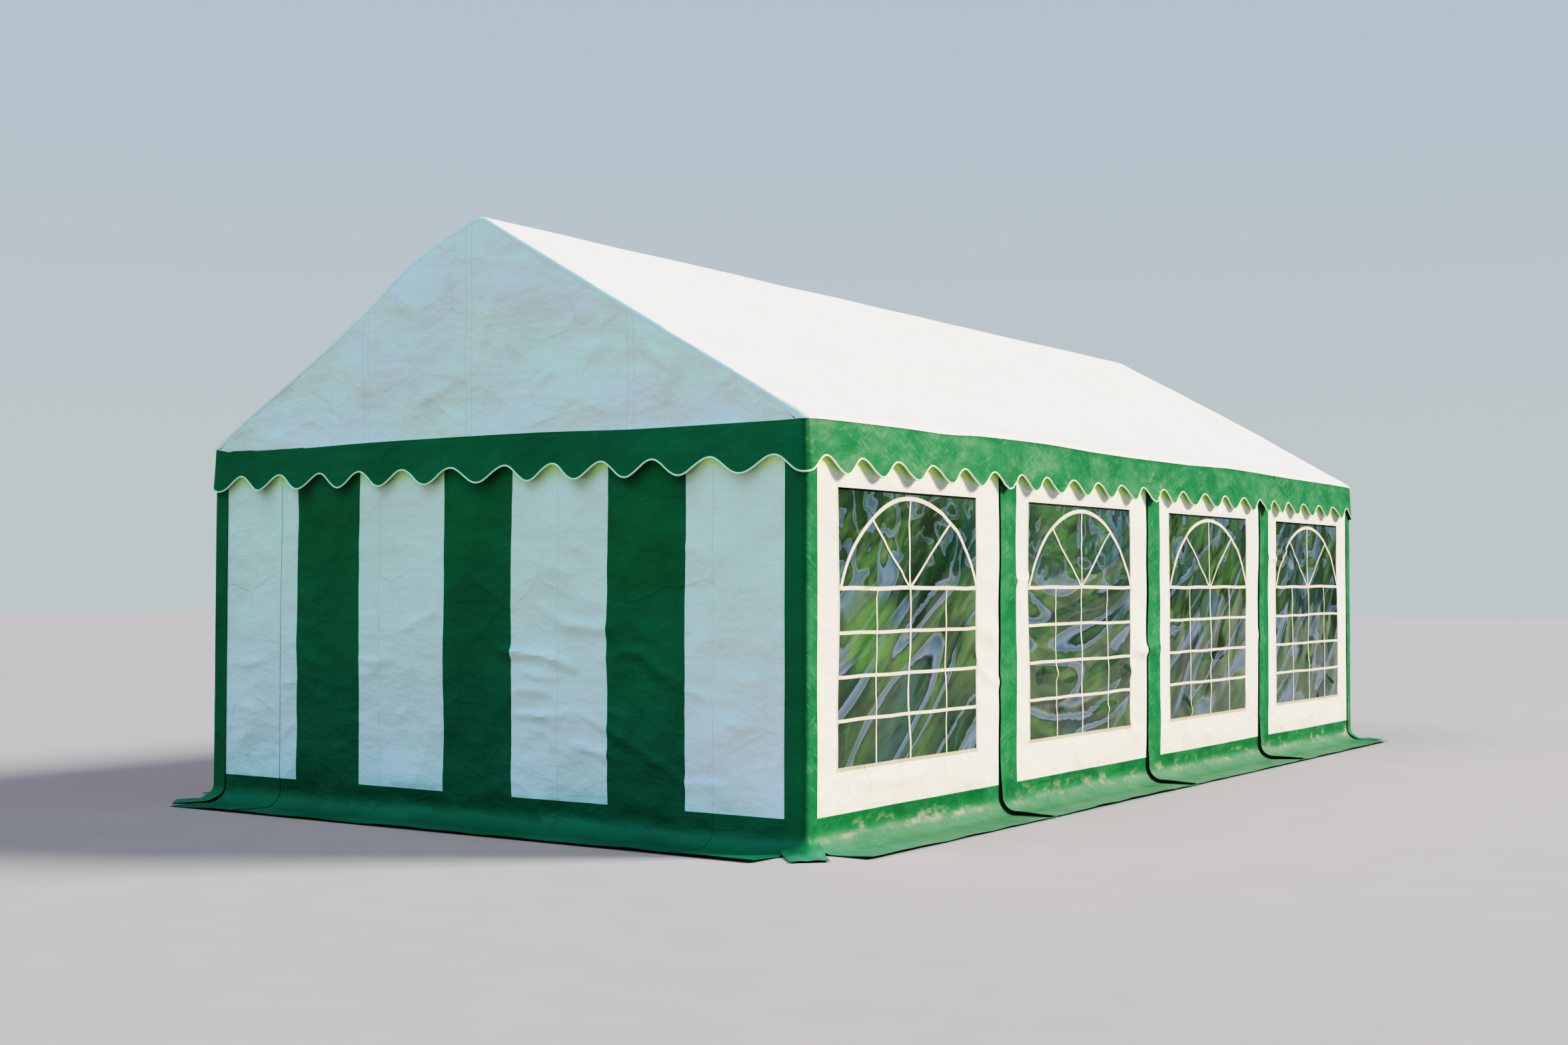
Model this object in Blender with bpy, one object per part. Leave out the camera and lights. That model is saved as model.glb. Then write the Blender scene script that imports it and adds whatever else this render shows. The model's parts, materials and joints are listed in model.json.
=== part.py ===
"""A marquee tent, 4 m by 8 m in four bays: a steel tube frame under a roof
cover with scalloped valances, striped gable walls with a zipped door in each,
and side panels with clear windows. Walls and roof are fabric sheets. Metres,
+Z up, origin on the ground at the middle of the plan; +Y runs along the ridge
and -Y is the front gable."""

import math

import bmesh
import bpy
from mathutils import Vector

# Driving dimensions of the plan and the section.
WIDTH = 4.0  # over the side walls
BAY_LENGTH = 2.0
BAYS = 4
EAVE_HEIGHT = 2.0  # where the roof's slope meets the valance
RIDGE_RISE = 1.12  # of the rounded ridge over the eave
RIDGE_RADIUS = 0.12  # of the cover over the ridge tube
RIDGE_STEPS = 4  # from the slope to the top
EAVE_RADIUS = 0.02  # of the cover over the eave
EAVE_STEPS = 3
SHEET = 0.003  # thickness of every fabric sheet
GAP = 0.0003  # between pieces that touch
SHARP_ANGLE = math.radians(35)  # faces that meet at more are shaded with an edge

# Steel frame.
TUBE_RADIUS = 0.019
SLEEVE_RADIUS = 0.0225  # connectors that the tubes plug into
SLEEVE_HALF = 0.05  # a connector's reach along the ridge or eave tube
SLEEVE_BEYOND = 0.010  # an end connector's reach towards the gable wall
SOCKET_DEPTH = 0.12  # a connector's reach down the post or along the rafter
GABLE_BAR_RADIUS = 0.016
GABLE_BAR_DROP = 0.09  # below the eave tube
PURLIN_END_INSET = 0.004  # ridge and eave tubes stop this far inside the end sleeves
FOOT_SIZE = 0.10
FOOT_THICKNESS = 0.006
PEG_HOLE_RADIUS = 0.006
PEG_HOLE_OFFSET = 0.035
TUBE_SIDES = 12
PEG_HOLE_SIDES = 8
SHOULDER = 0.0005  # length of the step from a connector down to a tube

# Walls.
WALL_TOP_DROP = 0.015  # walls end this far below the eave
SKIRT_WIDTH = 0.31  # from the wall to the outer edge of the flap on the ground
SKIRT_BEND_RADIUS = 0.10
BEND_STEPS = 5
LAP_BEFORE = 0.083  # a panel's first strip reaches this far before its post
LAP_TUCK = 0.003  # the panel beneath stops this far before the post's line
JOGGLE_START = 0.006  # where the strip begins to step in to the panel's plane
JOGGLE_END = 0.030
WINDOW_START = 0.282
WINDOW_WIDTH = 1.371
WINDOW_SILL = 0.375
WINDOW_HEIGHT = 1.315
FILM_INSET = 0.0005  # film lies this far inside both faces of the sheet
DOOR_HALF_WIDTH = 1.46
CORNER_CUT = 0.075  # the skirts stop this far from the corners

# Corner strips.
STRIP_ON_LAPPED_WALL = 0.11
STRIP_ON_OWN_WALL = 0.09
STRIP_CORNER_RADIUS = 0.020
STRIP_FLARE_HEIGHT = 0.12
STRIP_FLAP_REACH = 0.21  # of the flap, along the diagonal
STRIP_SPREAD = 0.6  # share of its way out that the foot has gone at the ground
STRIP_FLARE_STEPS = 7
STRIP_CORNER_STEPS = 3

# Valances.
VALANCE_STAND_OFF = 0.009  # clear of the walls and corner strips
VALANCE_DROP = 0.255  # from the eave to the tips of the scallops
SCALLOP_DEPTH = 0.095
SCALLOP_PITCH = BAY_LENGTH / 6
SCALLOP_STEPS = 6

# Sizes that follow.
LENGTH = BAY_LENGTH * BAYS
HALF_WIDTH = WIDTH / 2
HALF_LENGTH = LENGTH / 2
RIDGE_HEIGHT = EAVE_HEIGHT + RIDGE_RISE
WALL_TOP = EAVE_HEIGHT - WALL_TOP_DROP
VALANCE_TIP = EAVE_HEIGHT - VALANCE_DROP
COVER_X = HALF_WIDTH + VALANCE_STAND_OFF + SHEET
COVER_Y = HALF_LENGTH + VALANCE_STAND_OFF + SHEET
WALL_INSET = STRIP_CORNER_RADIUS + 0.002  # walls stop this far from the corner
LIP_BOTTOM = WALL_TOP  # lower edge of the cover's lip and of the gable triangles


def roof_angle():
    """The slope's angle: its line leaves the eave corner and is tangent to
    the ridge's arc."""
    low, high = 0.0, math.radians(80)
    for _ in range(60):
        middle = (low + high) / 2
        apex = EAVE_HEIGHT + COVER_X * math.tan(middle)
        top = apex - RIDGE_RADIUS * (1 / math.cos(middle) - 1)
        if top < RIDGE_HEIGHT:
            low = middle
        else:
            high = middle
    return (low + high) / 2


ROOF_ANGLE = roof_angle()
SLOPE = math.tan(ROOF_ANGLE)
AXIS_INSET = SHEET + GAP + SLEEVE_RADIUS  # of post axes from the wall's outside
POST_X = HALF_WIDTH - AXIS_INSET
END_FRAME_Y = HALF_LENGTH - AXIS_INSET
EAVE_TUBE_Z = (
    EAVE_HEIGHT + (COVER_X - POST_X) * SLOPE - AXIS_INSET / math.cos(ROOF_ANGLE)
)
RIDGE_TUBE_Z = RIDGE_HEIGHT - SHEET - GAP - SLEEVE_RADIUS / math.cos(ROOF_ANGLE)
BORE_RADIUS = TUBE_RADIUS + GAP


def clear_scene():
    for thing in list(bpy.data.objects):
        bpy.data.objects.remove(thing, do_unlink=True)


def make_material(name, colour, roughness, metallic=0.0, alpha=1.0):
    mat = bpy.data.materials.new(name)
    mat.use_nodes = True
    shader = mat.node_tree.nodes["Principled BSDF"]
    shader.inputs["Base Color"].default_value = (*colour, 1.0)
    shader.inputs["Roughness"].default_value = roughness
    shader.inputs["Metallic"].default_value = metallic
    shader.inputs["Alpha"].default_value = alpha
    return mat


def link_mesh(name, mesh, mat):
    piece = bpy.data.objects.new(name, mesh)
    mesh.materials.clear()
    mesh.materials.append(mat)
    bpy.context.collection.objects.link(piece)
    return piece


def finish_bmesh(bm, name):
    bmesh.ops.recalc_face_normals(bm, faces=bm.faces)
    mesh = bpy.data.meshes.new(name)
    bm.to_mesh(mesh)
    bm.free()
    mesh.shade_smooth()
    mesh.set_sharp_from_angle(angle=SHARP_ANGLE)
    return mesh


def skin_mesh(name, outer, inner, left_out=lambda row, column: False):
    """A closed sheet between two grids of points, with a rim along its edges
    and along the edges of the cells that are left out."""
    bm = bmesh.new()
    rows = len(outer)
    columns = len(outer[0])
    kept = {
        (r, c)
        for r in range(rows - 1)
        for c in range(columns - 1)
        if not left_out(r, c)
    }
    made = {}

    def corner(side, grid, r, c):
        if (side, r, c) not in made:
            made[side, r, c] = bm.verts.new(grid[r][c])
        return made[side, r, c]

    for r, c in sorted(kept):
        ring = [(r, c), (r, c + 1), (r + 1, c + 1), (r + 1, c)]
        bm.faces.new([corner("out", outer, *p) for p in ring])
        bm.faces.new([corner("in", inner, *p) for p in reversed(ring)])
        neighbours = [(r - 1, c), (r, c + 1), (r + 1, c), (r, c - 1)]
        for i, neighbour in enumerate(neighbours):
            if neighbour in kept:
                continue
            a = ring[i]
            b = ring[(i + 1) % 4]
            bm.faces.new(
                [
                    corner("out", outer, *b),
                    corner("out", outer, *a),
                    corner("in", inner, *a),
                    corner("in", inner, *b),
                ]
            )
    return finish_bmesh(bm, name)


def ring_points(centre, side, up, radius, sides=TUBE_SIDES):
    return [
        centre
        + side * (radius * math.cos(2 * math.pi * k / sides))
        + up * (radius * math.sin(2 * math.pi * k / sides))
        for k in range(sides)
    ]


def lofted_mesh(name, rings):
    """A closed solid through rings of equally many points, capped at both ends."""
    bm = bmesh.new()
    made = [[bm.verts.new(p) for p in ring] for ring in rings]
    for first, second in zip(made, made[1:]):
        count = len(first)
        for k in range(count):
            after = (k + 1) % count
            bm.faces.new([first[k], first[after], second[after], second[k]])
    bm.faces.new(list(reversed(made[0])))
    bm.faces.new(made[-1])
    return finish_bmesh(bm, name)


def cylinder_mesh(name, start, end, radius, sides=TUBE_SIDES):
    """A cylinder with a corner of its outline straight out along X or Y."""
    along = (end - start).normalized()
    side = Vector((1, 0, 0)) if abs(along.x) < 0.5 else Vector((0, 1, 0))
    up = along.cross(side)
    rings = [ring_points(p, side, up, radius, sides) for p in (start, end)]
    return lofted_mesh(name, rings)


def box_mesh(name, low, high):
    bm = bmesh.new()
    bmesh.ops.create_cube(bm, size=1.0)
    for v in bm.verts:
        v.co = Vector([high[i] if v.co[i] > 0 else low[i] for i in range(3)])
    return finish_bmesh(bm, name)


def combine(piece, mesh, operation):
    """Joins a helper's mesh to a piece, or cuts it out, and drops the helper."""
    helper = link_mesh("helper", mesh, piece.data.materials[0])
    modifier = piece.modifiers.new("combine", "BOOLEAN")
    modifier.operation = operation
    modifier.solver = "EXACT"
    modifier.object = helper
    graph = bpy.context.evaluated_depsgraph_get()
    result = bpy.data.meshes.new_from_object(piece.evaluated_get(graph))
    piece.modifiers.clear()
    piece.data = result
    bpy.data.objects.remove(helper, do_unlink=True)


def frame_positions():
    """The Y of each frame: the end frames stand just inside the gable walls."""
    spots = [-HALF_LENGTH + i * BAY_LENGTH for i in range(BAYS + 1)]
    spots[0] = -END_FRAME_Y
    spots[-1] = END_FRAME_Y
    return spots


def sleeve_span(y):
    """A connector's ends along the ridge, cut short at the gable walls."""
    reach = END_FRAME_Y + SLEEVE_BEYOND
    return max(y - SLEEVE_HALF, -reach), min(y + SLEEVE_HALF, reach)


def build_posts(steel):
    top = EAVE_TUBE_Z - BORE_RADIUS - GAP
    for side_name, side in (("right", 1), ("left", -1)):
        for number, y in enumerate(frame_positions(), 1):
            x = side * POST_X
            low = (x - FOOT_SIZE / 2, y - FOOT_SIZE / 2, 0)
            high = (x + FOOT_SIZE / 2, y + FOOT_SIZE / 2, FOOT_THICKNESS)
            if abs(y) == END_FRAME_Y:
                inward = -math.copysign(FOOT_SIZE / 2 - SLEEVE_RADIUS, y)
                low = (low[0], low[1] + inward, low[2])
                high = (high[0], high[1] + inward, high[2])
            inward = -side * (FOOT_SIZE / 2 - SLEEVE_RADIUS)
            low = (low[0] + inward, low[1], low[2])
            high = (high[0] + inward, high[1], high[2])
            name = f"post_{side_name}_{number}"
            post = link_mesh(name, box_mesh(name, low, high), steel)
            tube = cylinder_mesh(
                "tube", Vector((x, y, FOOT_THICKNESS / 2)), Vector((x, y, top)), TUBE_RADIUS
            )
            combine(post, tube, "UNION")
            middle = Vector(((low[0] + high[0]) / 2, (low[1] + high[1]) / 2, 0))
            for turn in (1, -1):
                hole = middle + Vector(
                    (-side * PEG_HOLE_OFFSET, turn * PEG_HOLE_OFFSET, 0)
                )
                cutter = cylinder_mesh(
                    "peg_hole",
                    hole - Vector((0, 0, FOOT_THICKNESS)),
                    hole + Vector((0, 0, 2 * FOOT_THICKNESS)),
                    PEG_HOLE_RADIUS,
                    PEG_HOLE_SIDES,
                )
                combine(post, cutter, "DIFFERENCE")


def rafter_rings(y):
    """Rings from the left eave over the ridge to the right eave, thicker
    where the rafters plug into the connectors."""
    eave = Vector((POST_X, y, EAVE_TUBE_Z))
    ridge = Vector((0, y, RIDGE_TUBE_Z))
    along = (ridge - eave).normalized()
    across = Vector((0, 1, 0))
    up = across.cross(along)
    run = (ridge - eave).length
    stations = [
        (0.0, SLEEVE_RADIUS),
        (SOCKET_DEPTH, SLEEVE_RADIUS),
        (SOCKET_DEPTH + SHOULDER, TUBE_RADIUS),
        (run - SOCKET_DEPTH - SHOULDER, TUBE_RADIUS),
        (run - SOCKET_DEPTH, SLEEVE_RADIUS),
    ]
    right = [
        ring_points(eave + along * s, across, up, radius) for s, radius in stations
    ]
    # At the ridge the ring lies in the plane x = 0, where the two rafters mitre.
    mitre = [
        p + along * (-p.x / along.x)
        for p in ring_points(ridge, across, up, SLEEVE_RADIUS)
    ]
    left = [[Vector((-p.x, p.y, p.z)) for p in ring] for ring in right]
    return right + [mitre] + list(reversed(left))


def build_arches(steel):
    for number, y in enumerate(frame_positions(), 1):
        name = f"roof_arch_{number}"
        arch = link_mesh(name, lofted_mesh(name, rafter_rings(y)), steel)
        start, end = sleeve_span(y)
        spots = [
            (POST_X, EAVE_TUBE_Z),
            (-POST_X, EAVE_TUBE_Z),
            (0.0, RIDGE_TUBE_Z),
        ]
        for x, z in spots:
            sleeve = cylinder_mesh(
                "sleeve", Vector((x, start, z)), Vector((x, end, z)), SLEEVE_RADIUS
            )
            combine(arch, sleeve, "UNION")
        for x, z in spots[:2]:
            socket = cylinder_mesh(
                "socket", Vector((x, y, z)), Vector((x, y, z - SOCKET_DEPTH)), SLEEVE_RADIUS
            )
            combine(arch, socket, "UNION")
        for x, z in spots:
            bore = cylinder_mesh(
                "bore",
                Vector((x, start - SLEEVE_HALF, z)),
                Vector((x, end + SLEEVE_HALF, z)),
                BORE_RADIUS,
            )
            combine(arch, bore, "DIFFERENCE")
        for x, z in spots[:2]:
            bore = cylinder_mesh(
                "bore",
                Vector((x, y, z)),
                Vector((x, y, z - 2 * SOCKET_DEPTH)),
                BORE_RADIUS,
            )
            combine(arch, bore, "DIFFERENCE")


def build_purlins(steel):
    reach = END_FRAME_Y + SLEEVE_BEYOND - PURLIN_END_INSET
    for name, x, z in (
        ("ridge_tube", 0.0, RIDGE_TUBE_Z),
        ("eave_tube_right", POST_X, EAVE_TUBE_Z),
        ("eave_tube_left", -POST_X, EAVE_TUBE_Z),
    ):
        tube = cylinder_mesh(
            name, Vector((x, -reach, z)), Vector((x, reach, z)), TUBE_RADIUS
        )
        link_mesh(name, tube, steel)


def build_gable_bars(steel):
    reach = POST_X - SLEEVE_RADIUS - GAP
    z = EAVE_TUBE_Z - GABLE_BAR_DROP
    y = HALF_LENGTH - SHEET - GAP - GABLE_BAR_RADIUS
    for name, side in (("gable_bar_front", -1), ("gable_bar_back", 1)):
        bar = cylinder_mesh(
            name, Vector((-reach, side * y, z)), Vector((reach, side * y, z)), GABLE_BAR_RADIUS
        )
        link_mesh(name, bar, steel)


def arc(centre, radius, start, end, steps):
    """Points on an arc in the (across, up) plane; angles from +across."""
    return [
        (
            centre[0] + radius * math.cos(start + (end - start) * i / steps),
            centre[1] + radius * math.sin(start + (end - start) * i / steps),
        )
        for i in range(steps + 1)
    ]


def roof_section(offset):
    """The cover's section from the right lip to the left one, this far inside
    its outer face."""
    tilt = math.pi / 2 - ROOF_ANGLE
    eave_centre_x = COVER_X - EAVE_RADIUS
    eave_line = EAVE_HEIGHT + EAVE_RADIUS * SLOPE - EAVE_RADIUS / math.cos(ROOF_ANGLE)
    eave_arc = arc((eave_centre_x, eave_line), EAVE_RADIUS - offset, 0, tilt, EAVE_STEPS)
    ridge_centre = (0.0, RIDGE_HEIGHT - RIDGE_RADIUS)
    ridge_arc = arc(ridge_centre, RIDGE_RADIUS - offset, tilt, math.pi / 2, RIDGE_STEPS)
    half = [(COVER_X - offset, LIP_BOTTOM), *eave_arc, *ridge_arc]
    return half + [(-x, z) for x, z in reversed(half[:-1])]


def build_roof(white):
    outer_line = roof_section(0.0)
    inner_line = roof_section(SHEET)
    ends = (-COVER_Y, COVER_Y)
    outer = [[Vector((x, y, z)) for y in ends] for x, z in outer_line]
    inner = [[Vector((x, y, z)) for y in ends] for x, z in inner_line]
    link_mesh("roof_cover", skin_mesh("roof_cover", outer, inner), white)
    under = roof_section(SHEET + GAP)
    for name, side in (("gable_front", -1), ("gable_back", 1)):
        faces = []
        for depth in (COVER_Y, COVER_Y - SHEET):
            faces.append([Vector((x, side * depth, z)) for x, z in under])
        link_mesh(name, lofted_mesh(name, faces), white)


def scallop_bottom(u):
    """The valance's lower edge, lowest at the corners and posts."""
    swing = SCALLOP_DEPTH / 2
    return VALANCE_TIP + swing - swing * math.cos(2 * math.pi * u / SCALLOP_PITCH)


def build_valances(green):
    top = LIP_BOTTOM - GAP
    x_axis = Vector((1, 0, 0))
    y_axis = Vector((0, 1, 0))
    side_reach = COVER_Y - SHEET - GAP
    spans = (
        ("right", HALF_LENGTH, side_reach, y_axis, x_axis, COVER_X),
        ("left", HALF_LENGTH, side_reach, y_axis, -x_axis, COVER_X),
        ("front", HALF_WIDTH, COVER_X, x_axis, -y_axis, COVER_Y),
        ("back", HALF_WIDTH, COVER_X, x_axis, y_axis, COVER_Y),
    )
    for side, half, reach, along, out, depth in spans:
        name = f"valance_{side}"
        count = round(2 * half / SCALLOP_PITCH) * SCALLOP_STEPS
        stations = [-half + 2 * half * i / count for i in range(count + 1)]
        stations = [-reach] + stations + [reach]
        grids = []
        for d in (depth, depth - SHEET):
            upper = [along * u + out * d + Vector((0, 0, top)) for u in stations]
            lower = [
                along * u + out * d + Vector((0, 0, scallop_bottom(u + half)))
                for u in stations
            ]
            grids.append([upper, lower])
        link_mesh(name, skin_mesh(name, *grids), green)


def wall_path():
    """The sheet's inner face in section, as (outward, up) with the direction
    its outside faces: down the wall, round the bend and out over the ground."""
    radius = SKIRT_BEND_RADIUS
    centre = (-SHEET + radius, radius)
    path = [
        ((-SHEET, WALL_TOP), (1, 0)),
        ((-SHEET, WINDOW_SILL + WINDOW_HEIGHT), (1, 0)),
        ((-SHEET, WINDOW_SILL), (1, 0)),
    ]
    for i in range(BEND_STEPS + 1):
        angle = math.pi + math.pi / 2 * i / BEND_STEPS
        point = (
            centre[0] + radius * math.cos(angle),
            centre[1] + radius * math.sin(angle),
        )
        path.append((point, (-math.cos(angle), -math.sin(angle))))
    path.append(((SKIRT_WIDTH, 0.0), (0, 1)))
    return path


WINDOW_ROW = 1  # the path's stretch between the window's head and sill
BEND_ROW = 3  # the first stretch of the bend


def wall_mesh(name, place, stations, window=None, cut_at=None):
    """A wall sheet with its skirt. Each station is (along, inner offset, outer
    offset); window is the stretch between two stations that is cut out, and
    cut_at says whether the skirt is left out on a stretch."""
    origin, along, out = place
    grids = ([], [])
    for (n, z), (normal_n, normal_z) in wall_path():
        for grid, which in zip(grids, (2, 1)):
            row = []
            for station in stations:
                offset = station[which]
                row.append(
                    origin
                    + along * station[0]
                    + out * (n + normal_n * offset)
                    + Vector((0, 0, z + normal_z * offset))
                )
            grid.append(row)

    def left_out(row, column):
        if window is not None and row == WINDOW_ROW and column == window:
            return True
        return row >= BEND_ROW and cut_at is not None and cut_at(column)

    return skin_mesh(name, *grids, left_out)


def side_panel_stations(number):
    """Across one bay: the lapped strip over the panel before, the step in to
    the wall's plane, the window, and the edge under the next strip. Panel 1
    begins, and the last panel ends, beside a corner."""
    proud = (SHEET + GAP, 2 * SHEET + GAP)
    flat = (0.0, SHEET)
    if number == 1:
        stations = [(WALL_INSET, *flat), (CORNER_CUT, *flat)]
    else:
        stations = [
            (-LAP_BEFORE, *proud),
            (JOGGLE_START, *proud),
            (JOGGLE_END, *flat),
        ]
    window = len(stations)
    stations.append((WINDOW_START, *flat))
    stations.append((WINDOW_START + WINDOW_WIDTH, *flat))
    if number == BAYS:
        stations.append((BAY_LENGTH - CORNER_CUT, *flat))
        stations.append((BAY_LENGTH - WALL_INSET, *flat))
    else:
        stations.append((BAY_LENGTH - LAP_TUCK, *flat))
    return stations, window


def build_side_walls(white, clear):
    for side_name, side in (("right", 1), ("left", -1)):
        along = Vector((0, 1, 0))
        out = Vector((side, 0, 0))
        for number in range(1, BAYS + 1):
            start = -HALF_LENGTH + (number - 1) * BAY_LENGTH
            place = (along * start + out * HALF_WIDTH, along, out)
            stations, window = side_panel_stations(number)
            last = len(stations) - 2

            def cut_at(column, number=number, last=last):
                return (number == 1 and column == 0) or (number == BAYS and column == last)

            name = f"side_panel_{side_name}_{number}"
            link_mesh(name, wall_mesh(name, place, stations, window, cut_at), white)
            name = f"window_{side_name}_{number}"
            first = WINDOW_START + GAP
            second = WINDOW_START + WINDOW_WIDTH - GAP
            faces = []
            for depth in (-SHEET + FILM_INSET, -FILM_INSET):
                corners = [
                    (first, WINDOW_SILL + GAP),
                    (second, WINDOW_SILL + GAP),
                    (second, WINDOW_SILL + WINDOW_HEIGHT - GAP),
                    (first, WINDOW_SILL + WINDOW_HEIGHT - GAP),
                ]
                faces.append(
                    [place[0] + along * u + out * depth + Vector((0, 0, z)) for u, z in corners]
                )
            link_mesh(name, lofted_mesh(name, faces), clear)


def build_gable_walls(white):
    flat = (0.0, SHEET)
    outer = HALF_WIDTH - WALL_INSET
    cut = HALF_WIDTH - CORNER_CUT
    edge = DOOR_HALF_WIDTH
    for end_name, side in (("front", -1), ("back", 1)):
        along = Vector((-side, 0, 0))
        out = Vector((0, side, 0))
        place = (out * HALF_LENGTH, along, out)
        pieces = (
            (f"gable_wall_{end_name}_left", [-outer, -cut, -edge - GAP], 0),
            (f"gable_wall_{end_name}_right", [edge + GAP, cut, outer], 1),
            (f"zip_door_{end_name}", [-edge, edge], None),
        )
        for name, spots, cut_column in pieces:
            stations = [(u, *flat) for u in spots]
            mesh = wall_mesh(
                name, place, stations, None, lambda column, c=cut_column: column == c
            )
            link_mesh(name, mesh, white)


def strip_plan(lapped, own, corner, offset):
    """The strip's outline round a corner, seen from above, this far outside
    the walls: along the wall it laps over, round the corner and along its own."""
    radius = STRIP_CORNER_RADIUS
    out_lapped = -own
    out_own = -lapped
    centre = corner + (lapped + own) * radius
    points = [corner + lapped * STRIP_ON_LAPPED_WALL + out_lapped * offset]
    for i in range(STRIP_CORNER_STEPS + 1):
        angle = math.pi / 2 * i / STRIP_CORNER_STEPS
        turn = out_lapped * math.cos(angle) + out_own * math.sin(angle)
        points.append(centre + turn * (radius + offset))
    points.append(corner + own * STRIP_ON_OWN_WALL + out_own * offset)
    return points


def build_corner_strips(green):
    """Each strip belongs to one wall and laps round the corner over the edge of
    another. Its foot turns out along the diagonal and lies on the ground. The
    side panels' strips lap over the front gable wall, and the back gable
    wall's strips lap over the side panels."""
    x_axis = Vector((1, 0, 0))
    y_axis = Vector((0, 1, 0))
    corners = (
        ("front_right", (1, -1), -x_axis, y_axis),
        ("back_right", (1, 1), -y_axis, -x_axis),
        ("back_left", (-1, 1), -y_axis, x_axis),
        ("front_left", (-1, -1), x_axis, y_axis),
    )
    width = STRIP_ON_LAPPED_WALL + STRIP_ON_OWN_WALL
    for name, (sx, sy), lapped, own in corners:
        corner = Vector((sx * HALF_WIDTH, sy * HALF_LENGTH, 0))
        diagonal = -(lapped + own).normalized()
        across = (own - lapped).normalized()
        grids = []
        for low, offset in ((SHEET, GAP + SHEET), (0.0, GAP)):
            plan = strip_plan(lapped, own, corner, offset)
            middle = corner + diagonal * STRIP_FLAP_REACH
            count = len(plan) - 1
            rows = [[p + Vector((0, 0, WALL_TOP)) for p in plan]]
            for i in range(STRIP_FLARE_STEPS + 1):
                turn = math.pi / 2 * i / STRIP_FLARE_STEPS
                drop = math.sin(turn)
                spread = (1 - math.cos(turn)) * STRIP_SPREAD
                row = []
                for k, p in enumerate(plan):
                    flat = middle + across * width * (k / count - 0.5)
                    z = low + (STRIP_FLARE_HEIGHT - low) * (1 - drop)
                    row.append(p.lerp(flat, spread) + Vector((0, 0, z)))
                rows.append(row)
            flat = [
                middle + across * width * (k / count - 0.5) + Vector((0, 0, low))
                for k in range(count + 1)
            ]
            rows.append(flat)
            grids.append(rows)
        label = f"corner_strip_{name}"
        link_mesh(label, skin_mesh(label, *grids), green)


def build_tent():
    clear_scene()
    steel = make_material("galvanised_steel", (0.62, 0.64, 0.66), 0.35, 1.0)
    white = make_material("white_fabric", (0.85, 0.86, 0.84), 0.5)
    green = make_material("green_fabric", (0.0, 0.22, 0.09), 0.5)
    clear = make_material("clear_film", (0.75, 0.82, 0.80), 0.08, 0.0, 0.35)
    build_posts(steel)
    build_arches(steel)
    build_purlins(steel)
    build_gable_bars(steel)
    build_roof(white)
    build_valances(green)
    build_side_walls(white, clear)
    build_gable_walls(white)
    build_corner_strips(green)


build_tent()
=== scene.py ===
# %% [markdown]
# # Dressing a striped marquee
# A party marquee is a steel tube frame with coated cloth hung on it. The frame is
# already modelled as plain solids. This lesson hangs the cloth: each wall, roof and
# valance is a curved sheet with a real thickness, bent and creased by formulas, and
# each finish is worked out by shader nodes, so nothing is photographed. Some light,
# shade and reflection is painted into the colours by those nodes.

import json
import math
from collections import namedtuple
from functools import reduce

import bpy
import numpy as np
from mathutils import Matrix, Vector

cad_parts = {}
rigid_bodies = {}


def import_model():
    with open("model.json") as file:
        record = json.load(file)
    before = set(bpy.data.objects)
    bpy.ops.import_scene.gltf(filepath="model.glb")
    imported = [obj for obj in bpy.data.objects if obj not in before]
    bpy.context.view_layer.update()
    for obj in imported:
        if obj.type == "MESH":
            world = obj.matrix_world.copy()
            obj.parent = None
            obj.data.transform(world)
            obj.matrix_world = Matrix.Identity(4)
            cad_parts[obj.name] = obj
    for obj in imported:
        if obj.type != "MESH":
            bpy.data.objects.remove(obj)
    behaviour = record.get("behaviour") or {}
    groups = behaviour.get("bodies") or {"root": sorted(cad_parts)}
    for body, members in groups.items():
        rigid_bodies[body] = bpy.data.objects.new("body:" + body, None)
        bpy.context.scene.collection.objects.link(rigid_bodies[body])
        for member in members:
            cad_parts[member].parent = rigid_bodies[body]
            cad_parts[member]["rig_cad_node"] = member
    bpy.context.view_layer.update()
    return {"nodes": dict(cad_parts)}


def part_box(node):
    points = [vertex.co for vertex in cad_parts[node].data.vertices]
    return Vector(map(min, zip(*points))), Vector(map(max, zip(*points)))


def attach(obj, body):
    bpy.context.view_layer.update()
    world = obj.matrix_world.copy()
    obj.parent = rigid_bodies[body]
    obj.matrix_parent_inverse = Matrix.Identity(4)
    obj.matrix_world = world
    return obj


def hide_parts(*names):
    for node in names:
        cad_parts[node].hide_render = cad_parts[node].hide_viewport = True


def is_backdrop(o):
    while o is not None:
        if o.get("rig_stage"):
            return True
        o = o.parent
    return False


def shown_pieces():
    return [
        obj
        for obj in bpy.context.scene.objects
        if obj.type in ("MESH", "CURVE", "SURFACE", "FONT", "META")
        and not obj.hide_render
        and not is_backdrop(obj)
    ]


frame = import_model()

# %% [markdown]
# The cloth has to fit the frame, so its sizes are read from the solids and not typed
# again. A box around one wall gives its top, its plane and how far its skirt reaches
# over the ground; a box around one window gives the cut-out.

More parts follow.
